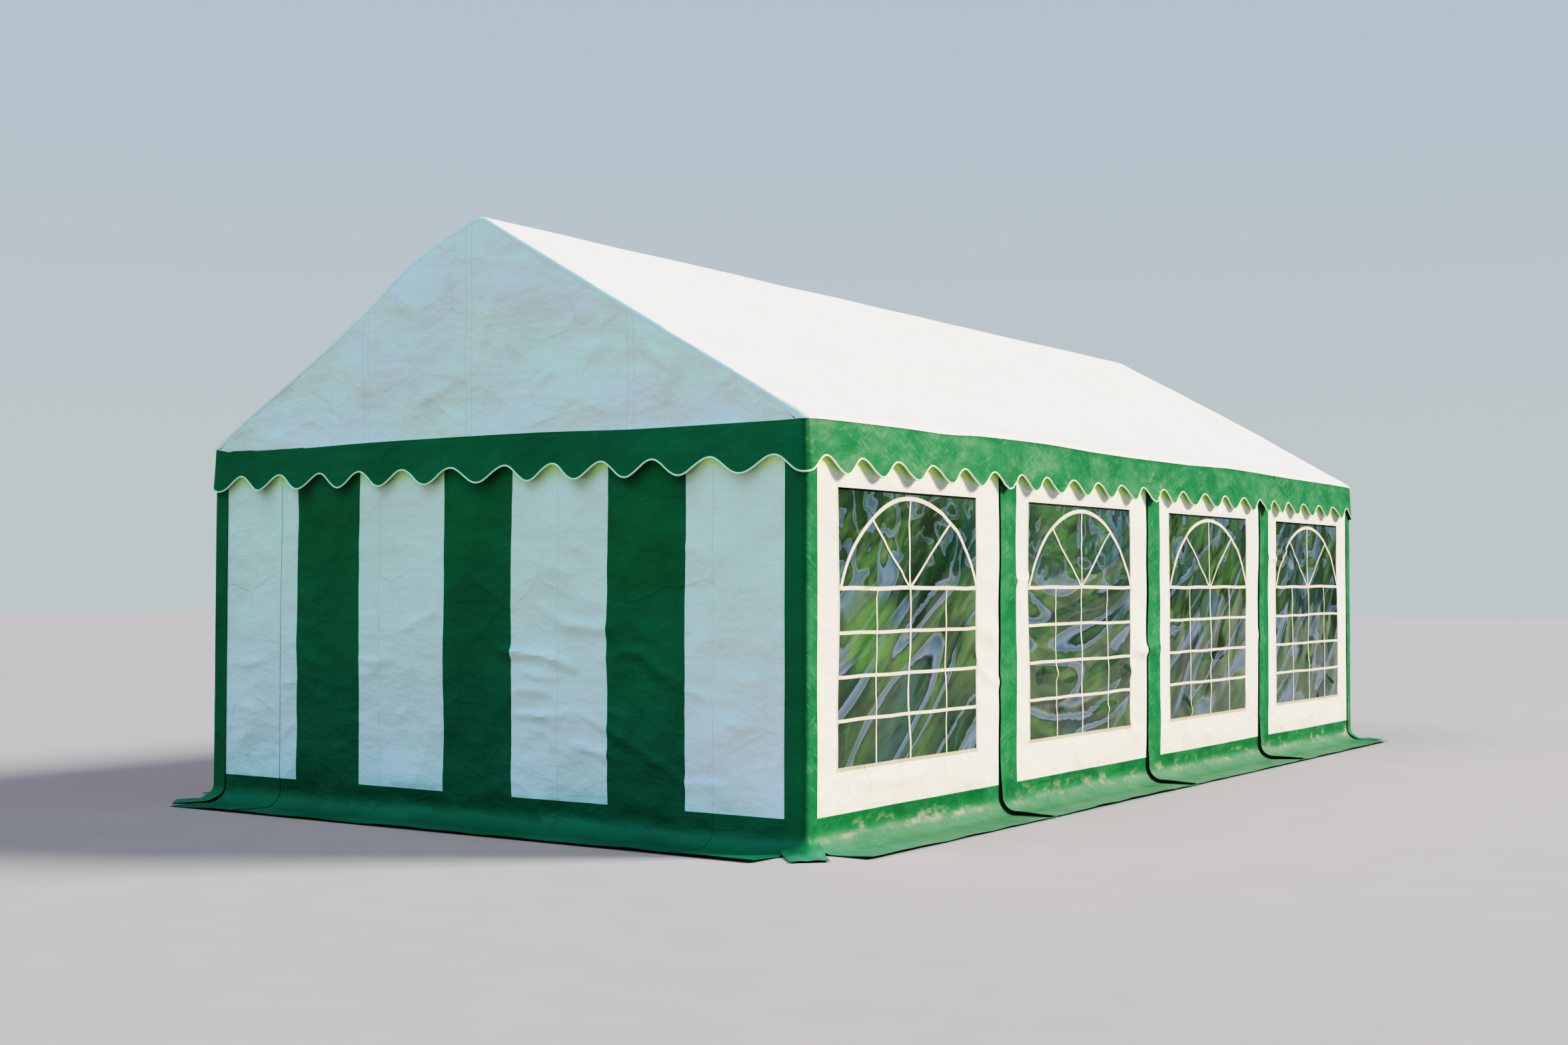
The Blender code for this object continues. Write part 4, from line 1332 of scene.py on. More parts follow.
# %% Set the glazing bars
def wander(side, number, across, z):
    """Where the film draws a point of its bars."""
    seed = side.seed * 10 + number + 50
    free = rise(from_border(across, z), 0.0, 0.12)
    across = across + 0.011 * free * hills(z * 3.2, across * 1.6, seed)
    return across, z + 0.006 * free * hills(across * 2.8, z * 1.4, seed + 1)


def join(name, parts):
    """One object from several, without operators."""
    points, faces, count = [], [], 0
    for part in parts:
        mesh = part.data
        co = np.empty(len(mesh.vertices) * 3, np.float32)
        mesh.vertices.foreach_get("co", co)
        loops = np.empty(len(mesh.loops), np.int32)
        mesh.loops.foreach_get("vertex_index", loops)
        points.append(co.reshape(-1, 3))
        faces.append(loops.reshape(-1, 4) + count)
        count += len(mesh.vertices)
        bpy.data.objects.remove(part, do_unlink=True)
    return new_piece(name, np.concatenate(points), np.concatenate(faces))


def set_bars(side, number):
    parts = []
    for k, (points, width) in enumerate(bar_lines()):
        grid = strip_grid(points, width)
        across, z = wander(side, number, grid[..., 0], grid[..., 1])
        lift = 0.0002 + BAR_LIFT * k
        outer = on_film(side, number, across, z, lift + BAR_THICKNESS)
        inner = on_film(side, number, across, z, -FILM_THICKNESS - lift)
        parts.append(thin_body("bar", outer, inner))
    return join(f"bars_{side.name}_{number}", parts)


for (name, number), sheet in films.items():
    bars = dress(set_bars(SIDES[name], number), bar_white, "clear_film")
print("faces in the bars of a window:", len(bars.data.polygons))

# %% [markdown]
# ## Roof cover
# The cover is one sheet from eave to eave. Its section is straight down each slope,
# rounded over the ridge and at the eaves. Between the arches it sags a little, and at
# each gable it turns down in a small hem. The section is walked by its own length, so
# the grid stays even round the bends.

# %% Section of the roof
EAVE_HEIGHT = 2.0
RIDGE_RADIUS = 0.12
EAVE_RADIUS = 0.02
HEM_RADIUS = 0.020
HEM_DROP = 0.006
CORNER_ROUND = 0.045  # of the valance at its corners, and about that of the cover


def slope_angle():
    """The slope that leaves the eave's corner and just touches the ridge's round."""
    low, high = 0.0, 1.4
    for _ in range(60):
        angle = (low + high) / 2
        top = EAVE_HEIGHT + COVER_X * math.tan(angle) - RIDGE_RADIUS * (1 / math.cos(angle) - 1)
        low, high = (angle, high) if top < RIDGE else (low, angle)
    return angle


ANGLE = slope_angle()


def section_line():
    """The cover's outer face in section, from the right lip to the left one."""
    eave_x = COVER_X - EAVE_RADIUS
    eave_z = EAVE_HEIGHT + EAVE_RADIUS * math.tan(ANGLE) - EAVE_RADIUS / math.cos(ANGLE)
    tilt = math.pi / 2 - ANGLE
    turns = np.linspace(0, tilt, 7)
    eave = [(eave_x + EAVE_RADIUS * math.cos(t), eave_z + EAVE_RADIUS * math.sin(t)) for t in turns]
    turns = np.linspace(tilt, math.pi / 2, 9)
    top_z = RIDGE - RIDGE_RADIUS
    ridge = [(RIDGE_RADIUS * math.cos(t), top_z + RIDGE_RADIUS * math.sin(t)) for t in turns]
    half = [(COVER_X, WALL_TOP), *eave, *ridge]
    return np.array(half + [(-x, z) for x, z in reversed(half[:-1])])


PROFILE = section_line()
PROFILE_REACH = walked(PROFILE)
SECTION = PROFILE_REACH[-1]


def section(reach):
    """Point and outward direction at a distance along the section."""

    def point(at):
        return np.array([np.interp(at, PROFILE_REACH, PROFILE[:, k]) for k in (0, 1)])

    ahead = point(reach + 0.012) - point(reach - 0.012)
    ahead = ahead / np.hypot(*ahead)
    x, z = point(reach)
    return x, z, ahead[1], -ahead[0]


print(f"the cover is {SECTION:.3f} m from lip to lip, slope {math.degrees(ANGLE):.1f} degrees")

# %% [markdown]
# The relief of the roof has two parts. What sinks in is held up by the arches: the sag
# of each bay, dips and fine unevenness. What stands up is added on top: the ridge, the
# cloth drawn over each arch, and two fuller places near the gables.

# %% Relief of the roof
def down_slope(reach):
    """0 at the ridge and 1 at both lips."""
    half = SECTION / 2
    return np.clip(np.abs(reach - half) / half, 0, 1)


def hollows(reach, y, belly, arch):
    """Sag between the arches and soft unevenness, held up at the arches."""
    between_arches = np.sin(np.pi * (y + HALF_LENGTH) / BAY) ** 2
    sag = -0.018 * between_arches * belly
    dips = 0.016 * belly * hills(reach * 1.1, y * 0.9, 61) * (0.35 + 0.65 * between_arches)
    slant = 0.006 * belly * hills((reach + y) * 2.2, (reach - y) * 0.8, 64)
    small = 0.0035 * rise(down_slope(reach), 0.02, 0.2) * hills(reach * 3.2, y * 2.7, 62)
    total = sag + dips + small + slant
    return np.where(total < 0, total * rise(arch, 0.02, 0.35), total)


def roof_relief(reach, y):
    """How far the cover stands off its section."""
    slope = down_slope(reach)
    belly = arc((slope - 0.04) / 0.94)
    arch = to_post(SIDES["right"], y)
    upper_left = (reach > SECTION / 2) * bell(slope - 0.21, 0.16) * rise(slope, 0.0, 0.10)
    full = 0.046 * bell(y + COVER_Y, 0.9) * upper_left + 0.015 * bell(y - COVER_Y, 0.9) * belly
    ridge = 0.007 * (1 - rise(slope, 0.02, 0.15)) * swell(y * 1.4, 0.5, 63)
    pucker = 0.005 * bell(arch, 0.05) * rise(slope, 0.55, 0.9)
    over_arch = 0.003 * bell(arch, 0.035) * belly
    edge = 1 - rise(slope, 0.965, 0.985)
    return (hollows(reach, y, belly, arch) + full + ridge + pucker + over_arch) * edge


sample = roof_relief(np.full(90, 0.3 * SECTION), np.linspace(-COVER_Y, COVER_Y, 90))
print(f"a slope's middle is {sample.min() * 1000:.0f} to {sample.max() * 1000:.0f} mm off the section")

# %% [markdown]
# The seam between roof and valance is never quite level. It is drawn as a line of
# heights along each side and smoothed, and both the roof's lip and the valance's top
# ask for it, so they meet wherever it goes.

# %% Line of the eave's seam
SEAMS = {  # heights of the seam over the walls' top, as (along, height)
    "right": (
        (-4.0, 0.011), (-3.6, 0.016), (-3.1, 0.019), (-2.65, 0.015), (-2.4, 0.029),
        (-1.9, 0.035), (-1.45, 0.036), (-0.9, 0.025), (-0.3, 0.022), (0.6, 0.025),
        (1.3, 0.039), (1.8, 0.035), (2.5, 0.026), (3.5, 0.021), (4.0, 0.015),
    ),
    "left": ((-4.0, 0.010), (-2.9, 0.022), (-1.6, 0.014), (0.2, 0.030), (2.1, 0.018), (4.0, 0.012)),
    "front": (
        (-2.0, -0.006), (-1.79, -0.018), (-1.52, -0.010), (-1.29, -0.012), (-0.85, 0.0),
        (-0.45, 0.004), (0.0, 0.007), (0.49, 0.007), (0.99, -0.003), (1.47, 0.001), (1.975, 0.005),
    ),
    "back": ((-2.0, 0.004), (-1.2, -0.008), (-0.3, 0.002), (0.7, -0.006), (1.5, 0.005), (2.0, 0.004)),
}
CORNER_SEAM = 0.008


def eave_line(name, along):
    """Height of the seam over the walls' top, the same at every corner."""
    line = SEAMS[name]
    inner = rise(line[-1][0] + 0.05 - np.abs(along), 0.0, 0.18)
    smooth = soft_line(line, along, (-0.12, -0.06, 0.0, 0.06, 0.12))
    return CORNER_SEAM + (smooth - CORNER_SEAM) * inner


print("the front seam at the middle:", round(float(eave_line("front", 0.0)), 4), "m")

# %% [markdown]
# Now the cover itself. A grid of distances round the section and along the roof is
# laid out, and each point is moved out from the section by its relief. Past the flat
# part the cloth turns down over the gable, tightly on the slopes and wider at the
# corners. The inner face is made the same way, one thickness deeper.

# %% Stretch the roof
FLAT_END = COVER_Y - HEM_RADIUS  # the hem starts to turn this far from the middle
TURN_LENGTH = HEM_RADIUS * math.pi / 2
ROOF_END = FLAT_END + TURN_LENGTH + HEM_DROP
ROOF_STEP = 0.036


def hem_radius(reach):
    """The hem's turn is tight along the slopes and wide round the eave's corners."""
    from_eave = np.minimum(reach, SECTION - reach)
    return HEM_RADIUS + (CORNER_ROUND - HEM_RADIUS) * bell(from_eave, 0.16)


def roof_grid():
    """Distances round the section and along the roof, closer together in the bends."""
    half = SECTION / 2
    marks = [0.0, 0.012, 0.05, half - 0.1, half + 0.1, SECTION - 0.05, SECTION - 0.012, SECTION]
    ends = [FLAT_END, FLAT_END + TURN_LENGTH, ROOF_END]
    walk = spaced([-end for end in reversed(ends)] + ends, ROOF_STEP)
    corners = np.array([0.33, 0.66]) * TURN_LENGTH + FLAT_END
    walk = np.sort(np.concatenate([walk, corners, -corners]))
    return np.meshgrid(spaced(marks, ROOF_STEP), walk, indexing="ij")


def stretch_roof():
    r, w = roof_grid()
    over = np.clip(np.abs(w) - FLAT_END, 0, None)
    turn = np.clip(over / HEM_RADIUS, 0, math.pi / 2)
    radius = hem_radius(r)
    flat = np.minimum(np.abs(w), FLAT_END) * (COVER_Y - radius) / FLAT_END
    y = np.sign(w) * (flat + radius * np.sin(turn))
    sink = radius * (1 - np.cos(turn)) + np.maximum(over - TURN_LENGTH, 0)
    x, z, nx, nz = section(r)
    lift = roof_relief(r, y)
    seam = np.where(r < SECTION / 2, eave_line("right", y), eave_line("left", y))
    lip = (1 - rise(np.minimum(r, SECTION - r), 0.03, 0.26)) * seam
    lowest = np.minimum(WALL_TOP + seam, z + nz * lift + lip)
    grids = []
    for depth in (0.0, SHEET):
        into = sink - lift + depth * np.cos(turn)
        back = y - np.sign(y) * depth * np.sin(turn)
        up = np.maximum(z - nz * into + lip, lowest)
        grids.append(np.stack([x - nx * into, back, up], -1))
    roof = thin_body("roof_cloth_cover", *grids)
    dress(roof, roof_cloth, "white_fabric", "roof_cover")
    rests = ["ridge_tube", "eave_tube_right", "eave_tube_left"]
    rests += [f"roof_arch_{i + 1}" for i in range(BAYS + 1)]
    2 * ROOF_END


stretch_roof()
print(f"roof cut {SECTION:.3f} by {2 * ROOF_END:.3f} m")

# %% [markdown]
# The gable triangle closes the end of the roof under the hem. It is stretched between
# the two slopes and the seam of the valance. The grid runs from the seam up to the
# slope, column by column, so it has the true outline with no trimming.

# %% Fill the gables
GABLE_FOLDS = {
    "front": [
        Fold([(-0.03, 2.905), (0.15, 2.88), (0.36, 2.86)], 0.007, 0.014),
        Fold([(-0.56, 2.8), (-0.558, 2.57), (-0.41, 2.37)], 0.006, 0.018),
        Fold([(0.685, 2.66), (0.686, 2.45)], 0.006, 0.018),
        Fold([(0.72, 2.47), (0.95, 2.575)], 0.006, 0.018),
        Fold([(0.43, 2.88), (0.44, 2.76)], 0.005, 0.014),
        Fold([(0.5, 2.8), (0.76, 2.7)], 0.006, 0.016),
        Fold([(0.5, 2.69), (0.78, 2.65)], 0.005, 0.016),
        Fold([(0.33, 2.18), (0.5, 2.32)], 0.0065, 0.022),
        Fold([(-0.46, 2.17), (-0.14, 2.26)], 0.007, 0.024),
        Fold([(0.09, 2.48), (0.26, 2.26)], 0.0065, 0.026),
        Fold([(1.03, 2.45), (1.26, 2.25), (1.14, 2.12)], 0.009, 0.04),
        Fold([(-1.35, 2.22), (-1.22, 2.1)], 0.005, 0.024),
        Fold([(-0.78, 2.3), (-0.7, 2.12)], 0.005, 0.022),
        Fold([(0.6, 2.06), (0.85, 2.12)], 0.005, 0.024),
    ],
    "back": chance_folds(8, 14, 1.1),
}
FOLDS_RAISED = {"front": 0.0, "back": 0.9}  # chance folds lie at a wall's height
GABLE_FOLDING = 1.8  # how much stronger than drawn the folds are
GABLE_HILLS = ((0.016, 1.0, 1.2, 2), (0.0120, 2.6, 1.8, 0), (0.0045, 6.5, 5.0, 0))


def fill_gable(end):
    side = SIDES[end]
    columns = spaced([-COVER_X + 0.004, 0.0, COVER_X - 0.004], 0.022)
    share = np.linspace(0, 1, 50)
    a, t = np.meshgrid(columns, share, indexing="ij")
    reach = np.linspace(0, SECTION, 1500)
    x, z, nx, nz = section(reach)
    face_y = COVER_Y if side.out[1] > 0 else -COVER_Y
    lift = roof_relief(reach, np.full_like(reach, face_y)) - hem_radius(reach) - 0.002
    order = np.argsort(x + nx * lift)
    top = np.interp(a, (x + nx * lift)[order], (z + nz * lift)[order])
    base = WALL_TOP + eave_line(end, a)
    up = base + np.maximum(top - base, 0.002) * t
    inside = arc(t) ** 0.6 * rise(top - base, 0.0, 0.4)
    bow = layers(GABLE_HILLS, a, up, side.seed + 21)
    bow = bow + GABLE_FOLDING * fold_relief(GABLE_FOLDS[end], a, up - FOLDS_RAISED[end])
    depth = COVER_Y - 0.0008 + inside * bow
    grids = [place(side, a, depth, up), place(side, a, depth - SHEET, up)]
    cloth = thin_body(f"gable_cloth_{end}", *grids)
    dress(cloth, gable_cloth, "white_fabric", f"gable_{end}")


for end in ("front", "back"):
    fill_gable(end)
print(f"gable triangles {2 * COVER_X:.3f} m wide and {RIDGE - WALL_TOP:.3f} m high")

# %% [markdown]
# ## Valances
# The valance hangs from the seam all round and ends in scallops with a white bead.
# Its lower edge stands off the wall, so it throws a shadow that tells how deep the
# cloth hangs. At each corner it turns in a small round, and tips of scallops fall
# about on the corners and the posts. They aren't spaced quite evenly: along each side
# they drift out of step and back.

# %% Edge of the valances
PIPING = 0.0046  # radius of the bead
PER_BAY = 6
VALANCE_UNDER = 0.008  # the valance goes on this far under the roof's lip
DRIFT = {  # how far the scallops are out of step, as (along, metres)
    "front": (
        (-2.0, 0.055), (-1.83, 0.085), (-1.5, 0.055), (-1.17, 0.035), (-0.83, 0.0), (-0.5, -0.015),
        (-0.17, -0.006), (0.17, 0.040), (0.5, 0.015), (0.83, -0.012), (1.17, -0.034), (1.5, -0.026),
        (1.83, 0.004), (2.0, -0.006),
    ),
    "right": (
        (-4.0, -0.006), (-3.83, -0.017), (-3.5, -0.045), (-3.17, -0.037), (-2.83, -0.019), (-2.17, -0.021),
        (-1.83, -0.035), (-1.5, -0.060), (-1.17, -0.025), (-0.5, -0.016), (0.17, -0.035), (0.5, -0.050),
        (0.83, 0.010), (1.17, 0.038), (1.5, 0.055), (1.83, 0.047), (2.17, -0.018), (2.5, -0.042),
        (2.83, -0.030), (3.17, 0.0), (3.5, -0.012), (3.83, 0.030), (4.0, 0.0),
    ),
    "left": (
        (-4.0, -0.055), (-3.6, -0.030), (-3.0, 0.0), (-2.0, 0.030), (-0.8, -0.030), (0.6, 0.035),
        (1.9, -0.020), (3.0, 0.020), (4.0, 0.0),
    ),
    "back": ((-2.0, 0.0), (-1.2, 0.030), (0.2, -0.035), (1.1, 0.020), (2.0, 0.0)),
}


def is_long(side):
    return side.name in ("right", "left")


def cover_depth(side):
    """From the tent's middle out to the valances of a side."""
    return COVER_X if is_long(side) else COVER_Y


def half_walk(side):
    """From the middle of a side to the middle of its corner's round."""
    reach = COVER_Y if is_long(side) else COVER_X
    return reach - CORNER_ROUND + CORNER_ROUND * math.pi / 4


def scallop_count(side):
    return round(PER_BAY * (side.posts[-1] - side.posts[0]) / BAY)


def scallop(side, walk):
    """How far the edge is below the seam: most near the corners and posts."""
    pitch = 2 * half_walk(side) / scallop_count(side)
    swing = SCALLOP_DEPTH / 2
    tip = WALL_TOP - SCALLOP_TIP - PIPING
    drift = soft_line(DRIFT[side.name], walk, (-0.05, 0.0, 0.05))
    return tip - swing + swing * np.cos(2 * np.pi * (walk - drift + half_walk(side)) / pitch)


print("scallops:", sum(scallop_count(side) for side in SIDES.values()))

# %% [markdown]
# A point of the valance is named by its walk from the middle of a side and its drop
# from the seam. It leans out more the lower it hangs, in slow waves, with small
# gathers beside each post where it is sewn to the seam. The bead is a tube swept along
# the lower edge, and it asks the same lean, so it stays on the cloth.

# %% Hang the valances
def valance_place(side, walk, drop, lean):
    """A point of the valance by its walk from the middle of the side."""
    straight = half_walk(side) - CORNER_ROUND * math.pi / 4
    over = np.clip(np.abs(walk) - straight, 0, None) / CORNER_ROUND
    along = np.sign(walk) * (np.minimum(np.abs(walk), straight) + CORNER_ROUND * np.sin(over))
    out = cover_depth(side) - CORNER_ROUND * (1 - np.cos(over))
    along = along + np.sign(walk) * np.sin(over) * lean
    return place(side, along, out + np.cos(over) * lean, WALL_TOP - drop)


def valance_lean(side, walk, drop):
    """How far the valance leans out: more at its lower edge, in slow waves."""
    share = drop / (WALL_TOP - SCALLOP_TIP)
    inner = rise(half_walk(side) - np.abs(walk), 0.02, 0.5)
    wave = hills(walk * 0.9 + 4, 0.5, side.seed + 30)
    small = hills(walk * 4.0, share * 1.2, side.seed + 31)
    fine = hills(walk * 9.0 + share * 2.0, share * 3.0 - walk * 2.0, side.seed + 32)
    out = 0.014 + inner * (0.014 + 0.010 * wave)
    folds = 0.009 * small * share + 0.0035 * fine * rise(share, 0.0, 0.3)
    nearest = to_post(side, walk)
    pucker = 0.005 * bell(nearest, 0.045) * arc(share)
    gathers = 0.0032 * np.cos(2 * np.pi * nearest / 0.055) * bell(nearest, 0.13)
    folds = inner * (folds + pucker + gathers * rise(share, 0.05, 0.3))
    return share**1.3 * out + folds - 0.0035 * (1 - rise(drop, -0.002, 0.010))


def hang_valance(side):
    reach = half_walk(side)
    walk = np.linspace(-reach, reach, scallop_count(side) * 22 + 1)
    edge = scallop(side, walk)
    w, t = np.meshgrid(walk, np.linspace(0, 1, 13), indexing="ij")
    top = -VALANCE_UNDER * rise(reach - np.abs(w), 0.05, 0.13) - eave_line(side.name, w)
    drop = top + (edge[:, None] - top) * t
    lean = valance_lean(side, w, np.maximum(drop, 0))
    grids = [valance_place(side, w, drop, lean - gap) for gap in (0.0, SHEET * 0.6)]
    cloth = thin_body(f"valance_cloth_{side.name}", *grids)
    dress(cloth, green_cloth, "green_fabric", f"valance_{side.name}")
    bead = tube_piece(f"piping_{side.name}", piping_rings(side, walk, edge))
    dress(bead, piping_white, "white_fabric")
    tall = WALL_TOP - SCALLOP_TIP + VALANCE_UNDER
    2 * reach
    2 * reach * (tall - SCALLOP_DEPTH / 2)
    return len(cloth.data.polygons)


def piping_rings(side, walk, edge):
    """Rings of a bead along the scallops, set into the edge of the cloth."""
    lean = valance_lean(side, walk, edge) - SHEET * 0.3
    line = valance_place(side, walk, edge, lean)
    tangent = np.gradient(line, axis=0)
    tangent /= np.linalg.norm(tangent, axis=1)[:, None]
    out = valance_place(side, walk, edge, lean + 0.01) - line
    out /= np.linalg.norm(out, axis=1)[:, None]
    other = np.cross(tangent, out)
    turns = np.linspace(0, 2 * np.pi, 8, endpoint=False)[None, :, None]
    ring = out[:, None] * np.cos(turns) + other[:, None] * np.sin(turns)
    return line[:, None] + PIPING * ring


def tube_piece(name, rings):
    """A closed tube through rings of equally many points."""
    count, sides = rings.shape[:2]
    index = np.arange(count * sides).reshape(count, sides)
    after = np.roll(index, -1, axis=1)
    faces = np.stack([index[:-1], after[:-1], after[1:], index[1:]], -1).reshape(-1, 4)
    caps = []
    for k in range(1, sides // 2):
        first = (index[0, k], index[0, k - 1], index[0, sides - k], index[0, sides - k - 1])
        end = (index[-1, k - 1], index[-1, k], index[-1, sides - k - 1], index[-1, sides - k])
        caps += [first, end]
    return new_piece(name, rings.reshape(-1, 3), np.concatenate([faces, np.array(caps)]))


print("faces in the valances:", [hang_valance(side) for side in SIDES.values()])

# %% [markdown]
# ## Corner strips
# A green strip is welded round each corner and covers the edges of both walls. Near
# the ground it opens into a flap that turns out along the diagonal. The strip is
# swept: its plan, an L with a round corner, moves down the corner and is mixed step
# by step into the flat plan of the flap.

# %% Plan of a corner strip
STRIP_LAPPED = 0.11  # the strip reaches this far over the wall that it is welded to
STRIP_OWN = 0.09  # and this far over the other one
STRIP_ROUND = 0.028
FLARE = 0.110  # height where the strip starts to open
STRIP_OUT = 0.036  # the strip follows the walls' bend this far out
FLAP_REACH = 0.205  # from the corner to the end of the flap
LEFT_FOOT = 0.007  # the front left foot lies this high, on the skirt
FOOT_WIDTH = 0.178
FLAP_SHIFT = 0.021  # the flap lies this far to the lapped side of the diagonal
SPREAD = 0.5  # how far the plan is mixed into the flap's when it touches the ground
X_AXIS = np.array((1.0, 0.0, 0.0))
Y_AXIS = np.array((0.0, 1.0, 0.0))
CORNERS = {
    "front_right": ((1, -1), -X_AXIS, Y_AXIS),
    "back_right": ((1, 1), -Y_AXIS, -X_AXIS),
    "back_left": ((-1, 1), -Y_AXIS, X_AXIS),
    "front_left": ((-1, -1), X_AXIS, Y_AXIS),
}


def strip_plan(lapped, own, offset, curl):
    """The strip seen from above, round a corner at 0, this far outside the walls."""
    centre = (lapped + own) * STRIP_ROUND
    points = []
    for k in np.linspace(1, 0, 7)[:-1]:
        at = STRIP_ROUND + (STRIP_LAPPED - STRIP_ROUND) * k
        points.append(lapped * at - own * (offset + curl * k**3))
    for turn in np.linspace(0, math.pi / 2, 7):
        way = -own * math.cos(turn) - lapped * math.sin(turn)
        points.append(centre + way * (STRIP_ROUND + offset))
    for k in np.linspace(0, 1, 6)[1:]:
        at = STRIP_ROUND + (STRIP_OWN - STRIP_ROUND) * k
        points.append(own * at - lapped * (offset + curl * k**3))
    return np.array(points)


def bend_out(z):
    """How far a wall has turned out of its plane at this height."""
    sine = min(max(1 - (z - SHEET) / BEND, 0.0), 1.0)
    return BEND * (1 - math.sqrt(1 - sine**2))


print("points across a corner strip:", len(strip_plan(-X_AXIS, Y_AXIS, 0.0, 0.0)))

# %% [markdown]
# The sweep has three parts: straight down the corner, a quarter turn outwards during
# which the plan spreads, and the flap that lies on the ground. Each gives rows of
# points, and the rows together are one grid. The inner face takes the same steps
# nearer the wall, or a thickness lower where the flap lies.

# %% Cover the corners
def rows_down(plan, offset, seed):
    """Rows down the corner to where the strip starts to open."""
    rows = []
    for z in np.linspace(WALL_TOP, FLARE, 70):
        slack = 0.0012 * (1 + hills(z * 2.5, 0.5, seed)) * rise(WALL_TOP - z, 0.1, 0.4)
        rows.append(plan(offset + slack, 0.0015 + slack) + UP * z)
    return rows


def rows_out(plan, lay, sag, foot, offset, low):
    """Rows of the quarter turn and of the flap that lies on the ground."""
    rows = []
    for turn in np.linspace(0, math.pi / 2, 15)[1:]:
        spread = (1 - math.cos(turn)) ** 1.6 * SPREAD
        z = low + foot + (FLARE - low - foot) * (1 - math.sin(turn))
        turned = plan(offset + 0.0012 + min(bend_out(z), STRIP_OUT), 0.002)
        lift = math.sin(turn) ** 8 * sag * 0.5 + z
        rows.append(turned * (1 - spread) + lay * spread + UP * lift[:, None])
    for share in np.linspace(SPREAD, 1, 8)[1:]:
        out = (share - SPREAD) / (1 - SPREAD)
        lift = sag * (0.5 + 0.5 * out) + low + foot * (1 - out * 0.7)
        rows.append(turned * (1 - share) + lay * share + UP * lift[:, None])
    return rows


def cover_corner(name, signs, lapped, own, seed):
    corner = np.array((signs[0] * HALF_WIDTH, signs[1] * HALF_LENGTH, 0.0))
    diagonal = -(lapped + own) / math.sqrt(2)
    across = (own - lapped) / math.sqrt(2)
    middle = corner + diagonal * FLAP_REACH - across * FLAP_SHIFT
    foot = LEFT_FOOT if name == "front_left" else 0.0

    def plan(offset, curl):
        return corner + strip_plan(lapped, own, offset, curl)

    ends = np.linspace(-0.5, 0.5, len(plan(0.0, 0.0)))
    lay = middle + across * (FOOT_WIDTH * ends)[:, None]
    sag = 0.010 * swell(ends * 3 + seed, 0.5, seed + 1) * (0.2 if foot else 1.0)
    grids = []
    for low, offset in ((SHEET, GAP + SHEET), (0.0, GAP)):
        rows = rows_down(plan, offset, seed) + rows_out(plan, lay, sag, foot, offset, low)
        grids.append(np.array(rows))
    cloth = thin_body(f"corner_cloth_{name}", *grids)
    dress(cloth, green_cloth, "green_fabric", f"corner_strip_{name}")
    end = "front" if signs[1] < 0 else "back"
    hand = "right" if signs[0] > 0 else "left"


for seed, (name, facts) in enumerate(CORNERS.items(), 80):
    cover_corner(name, *facts, seed)
print("corner strips:", len(CORNERS))

# %% [markdown]
# ## Bolts
# Each connector is locked to its tube by a bolt with a round washer. They show inside
# and through the windows. Every bolt is a short turned shape, made once as rings of
# points and set on each spot.

# %% Bolt the frame
SLEEVE = 0.0225  # radius of the frame's sleeves and sockets
POST_X = HALF_WIDTH - SHEET - GAP - SLEEVE
END_Y = HALF_LENGTH - SHEET - GAP - SLEEVE
TUBE = 0.019  # radius of the tubes
EAVE_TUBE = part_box("eave_tube_right")[1].z - TUBE
RIDGE_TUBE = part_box("ridge_tube")[1].z - TUBE
FROM_JOINT = 0.085  # from the middle of a joint to its bolts
BOLT_PROFILE = (  # radius, height over the tube
    (0.009, 0.0),
    (0.009, 0.0015),
    (0.0052, 0.0015),
    (0.0052, 0.0055),
    (0.002, 0.0062),
)
BOLT_SUNK = 0.0008


def bolt_rings(spot, out):
    """Rings of a bolt's head standing on a tube's wall."""
    out = np.array(out, float)
    side = np.cross(out, UP) if abs(out[2]) < 0.9 else X_AXIS
    side = side / np.linalg.norm(side)
    other = np.cross(out, side)
    turns = np.linspace(0, 2 * np.pi, 12, endpoint=False)
    circle = side * np.cos(turns)[:, None] + other * np.sin(turns)[:, None]
    return np.array([spot + out * (h - BOLT_SUNK) + circle * r for r, h in BOLT_PROFILE])


def bolt_spots():
    """Where the heads stand: on the inner side of every socket and sleeve."""
    run = np.array((-POST_X, 0.0, RIDGE_TUBE - EAVE_TUBE))
    run = run / np.linalg.norm(run)
    for y in [-END_Y, -BAY, 0.0, BAY, END_Y]:
        for hand in (1, -1):
            yield (hand * (POST_X - SLEEVE), y, EAVE_TUBE - FROM_JOINT), (-hand, 0, 0)
            along = np.array((run[0] * hand, 0.0, run[2]))
            under = np.array((run[2] * hand, 0.0, -run[0]))
            under = under * -np.sign(under[2])
            eave = np.array((hand * POST_X, y, EAVE_TUBE))
            ridge = np.array((0.0, y, RIDGE_TUBE))
            yield eave + along * FROM_JOINT + under * SLEEVE, under
            yield ridge - along * FROM_JOINT + under * SLEEVE, under


heads = [tube_piece("head", bolt_rings(np.array(spot), out)) for spot, out in bolt_spots()]
print("bolts:", len(heads))
dress(join("frame_bolts", heads), bolt_steel, "galvanised_steel")

# %% [markdown]
# ## Stage, light and camera
# The tent stands on a plain pale floor. A low warm lamp from the far right lights the
# long side and leaves the front gable in cool shade, as the reference does. That cool
# light would turn the shadow on the floor blue. Light linking lets a lamp light some
# pieces and leave out others, so the floor has two more neutral lamps of its own.

# %% Floor and lamps
FLOOR_DARK = (0.405, 0.385, 0.388, 1.0)
FLOOR_PALE = (0.445, 0.425, 0.428, 1.0)
FLOOR_REACH = 60.0
FLOOR_DROP = 0.001


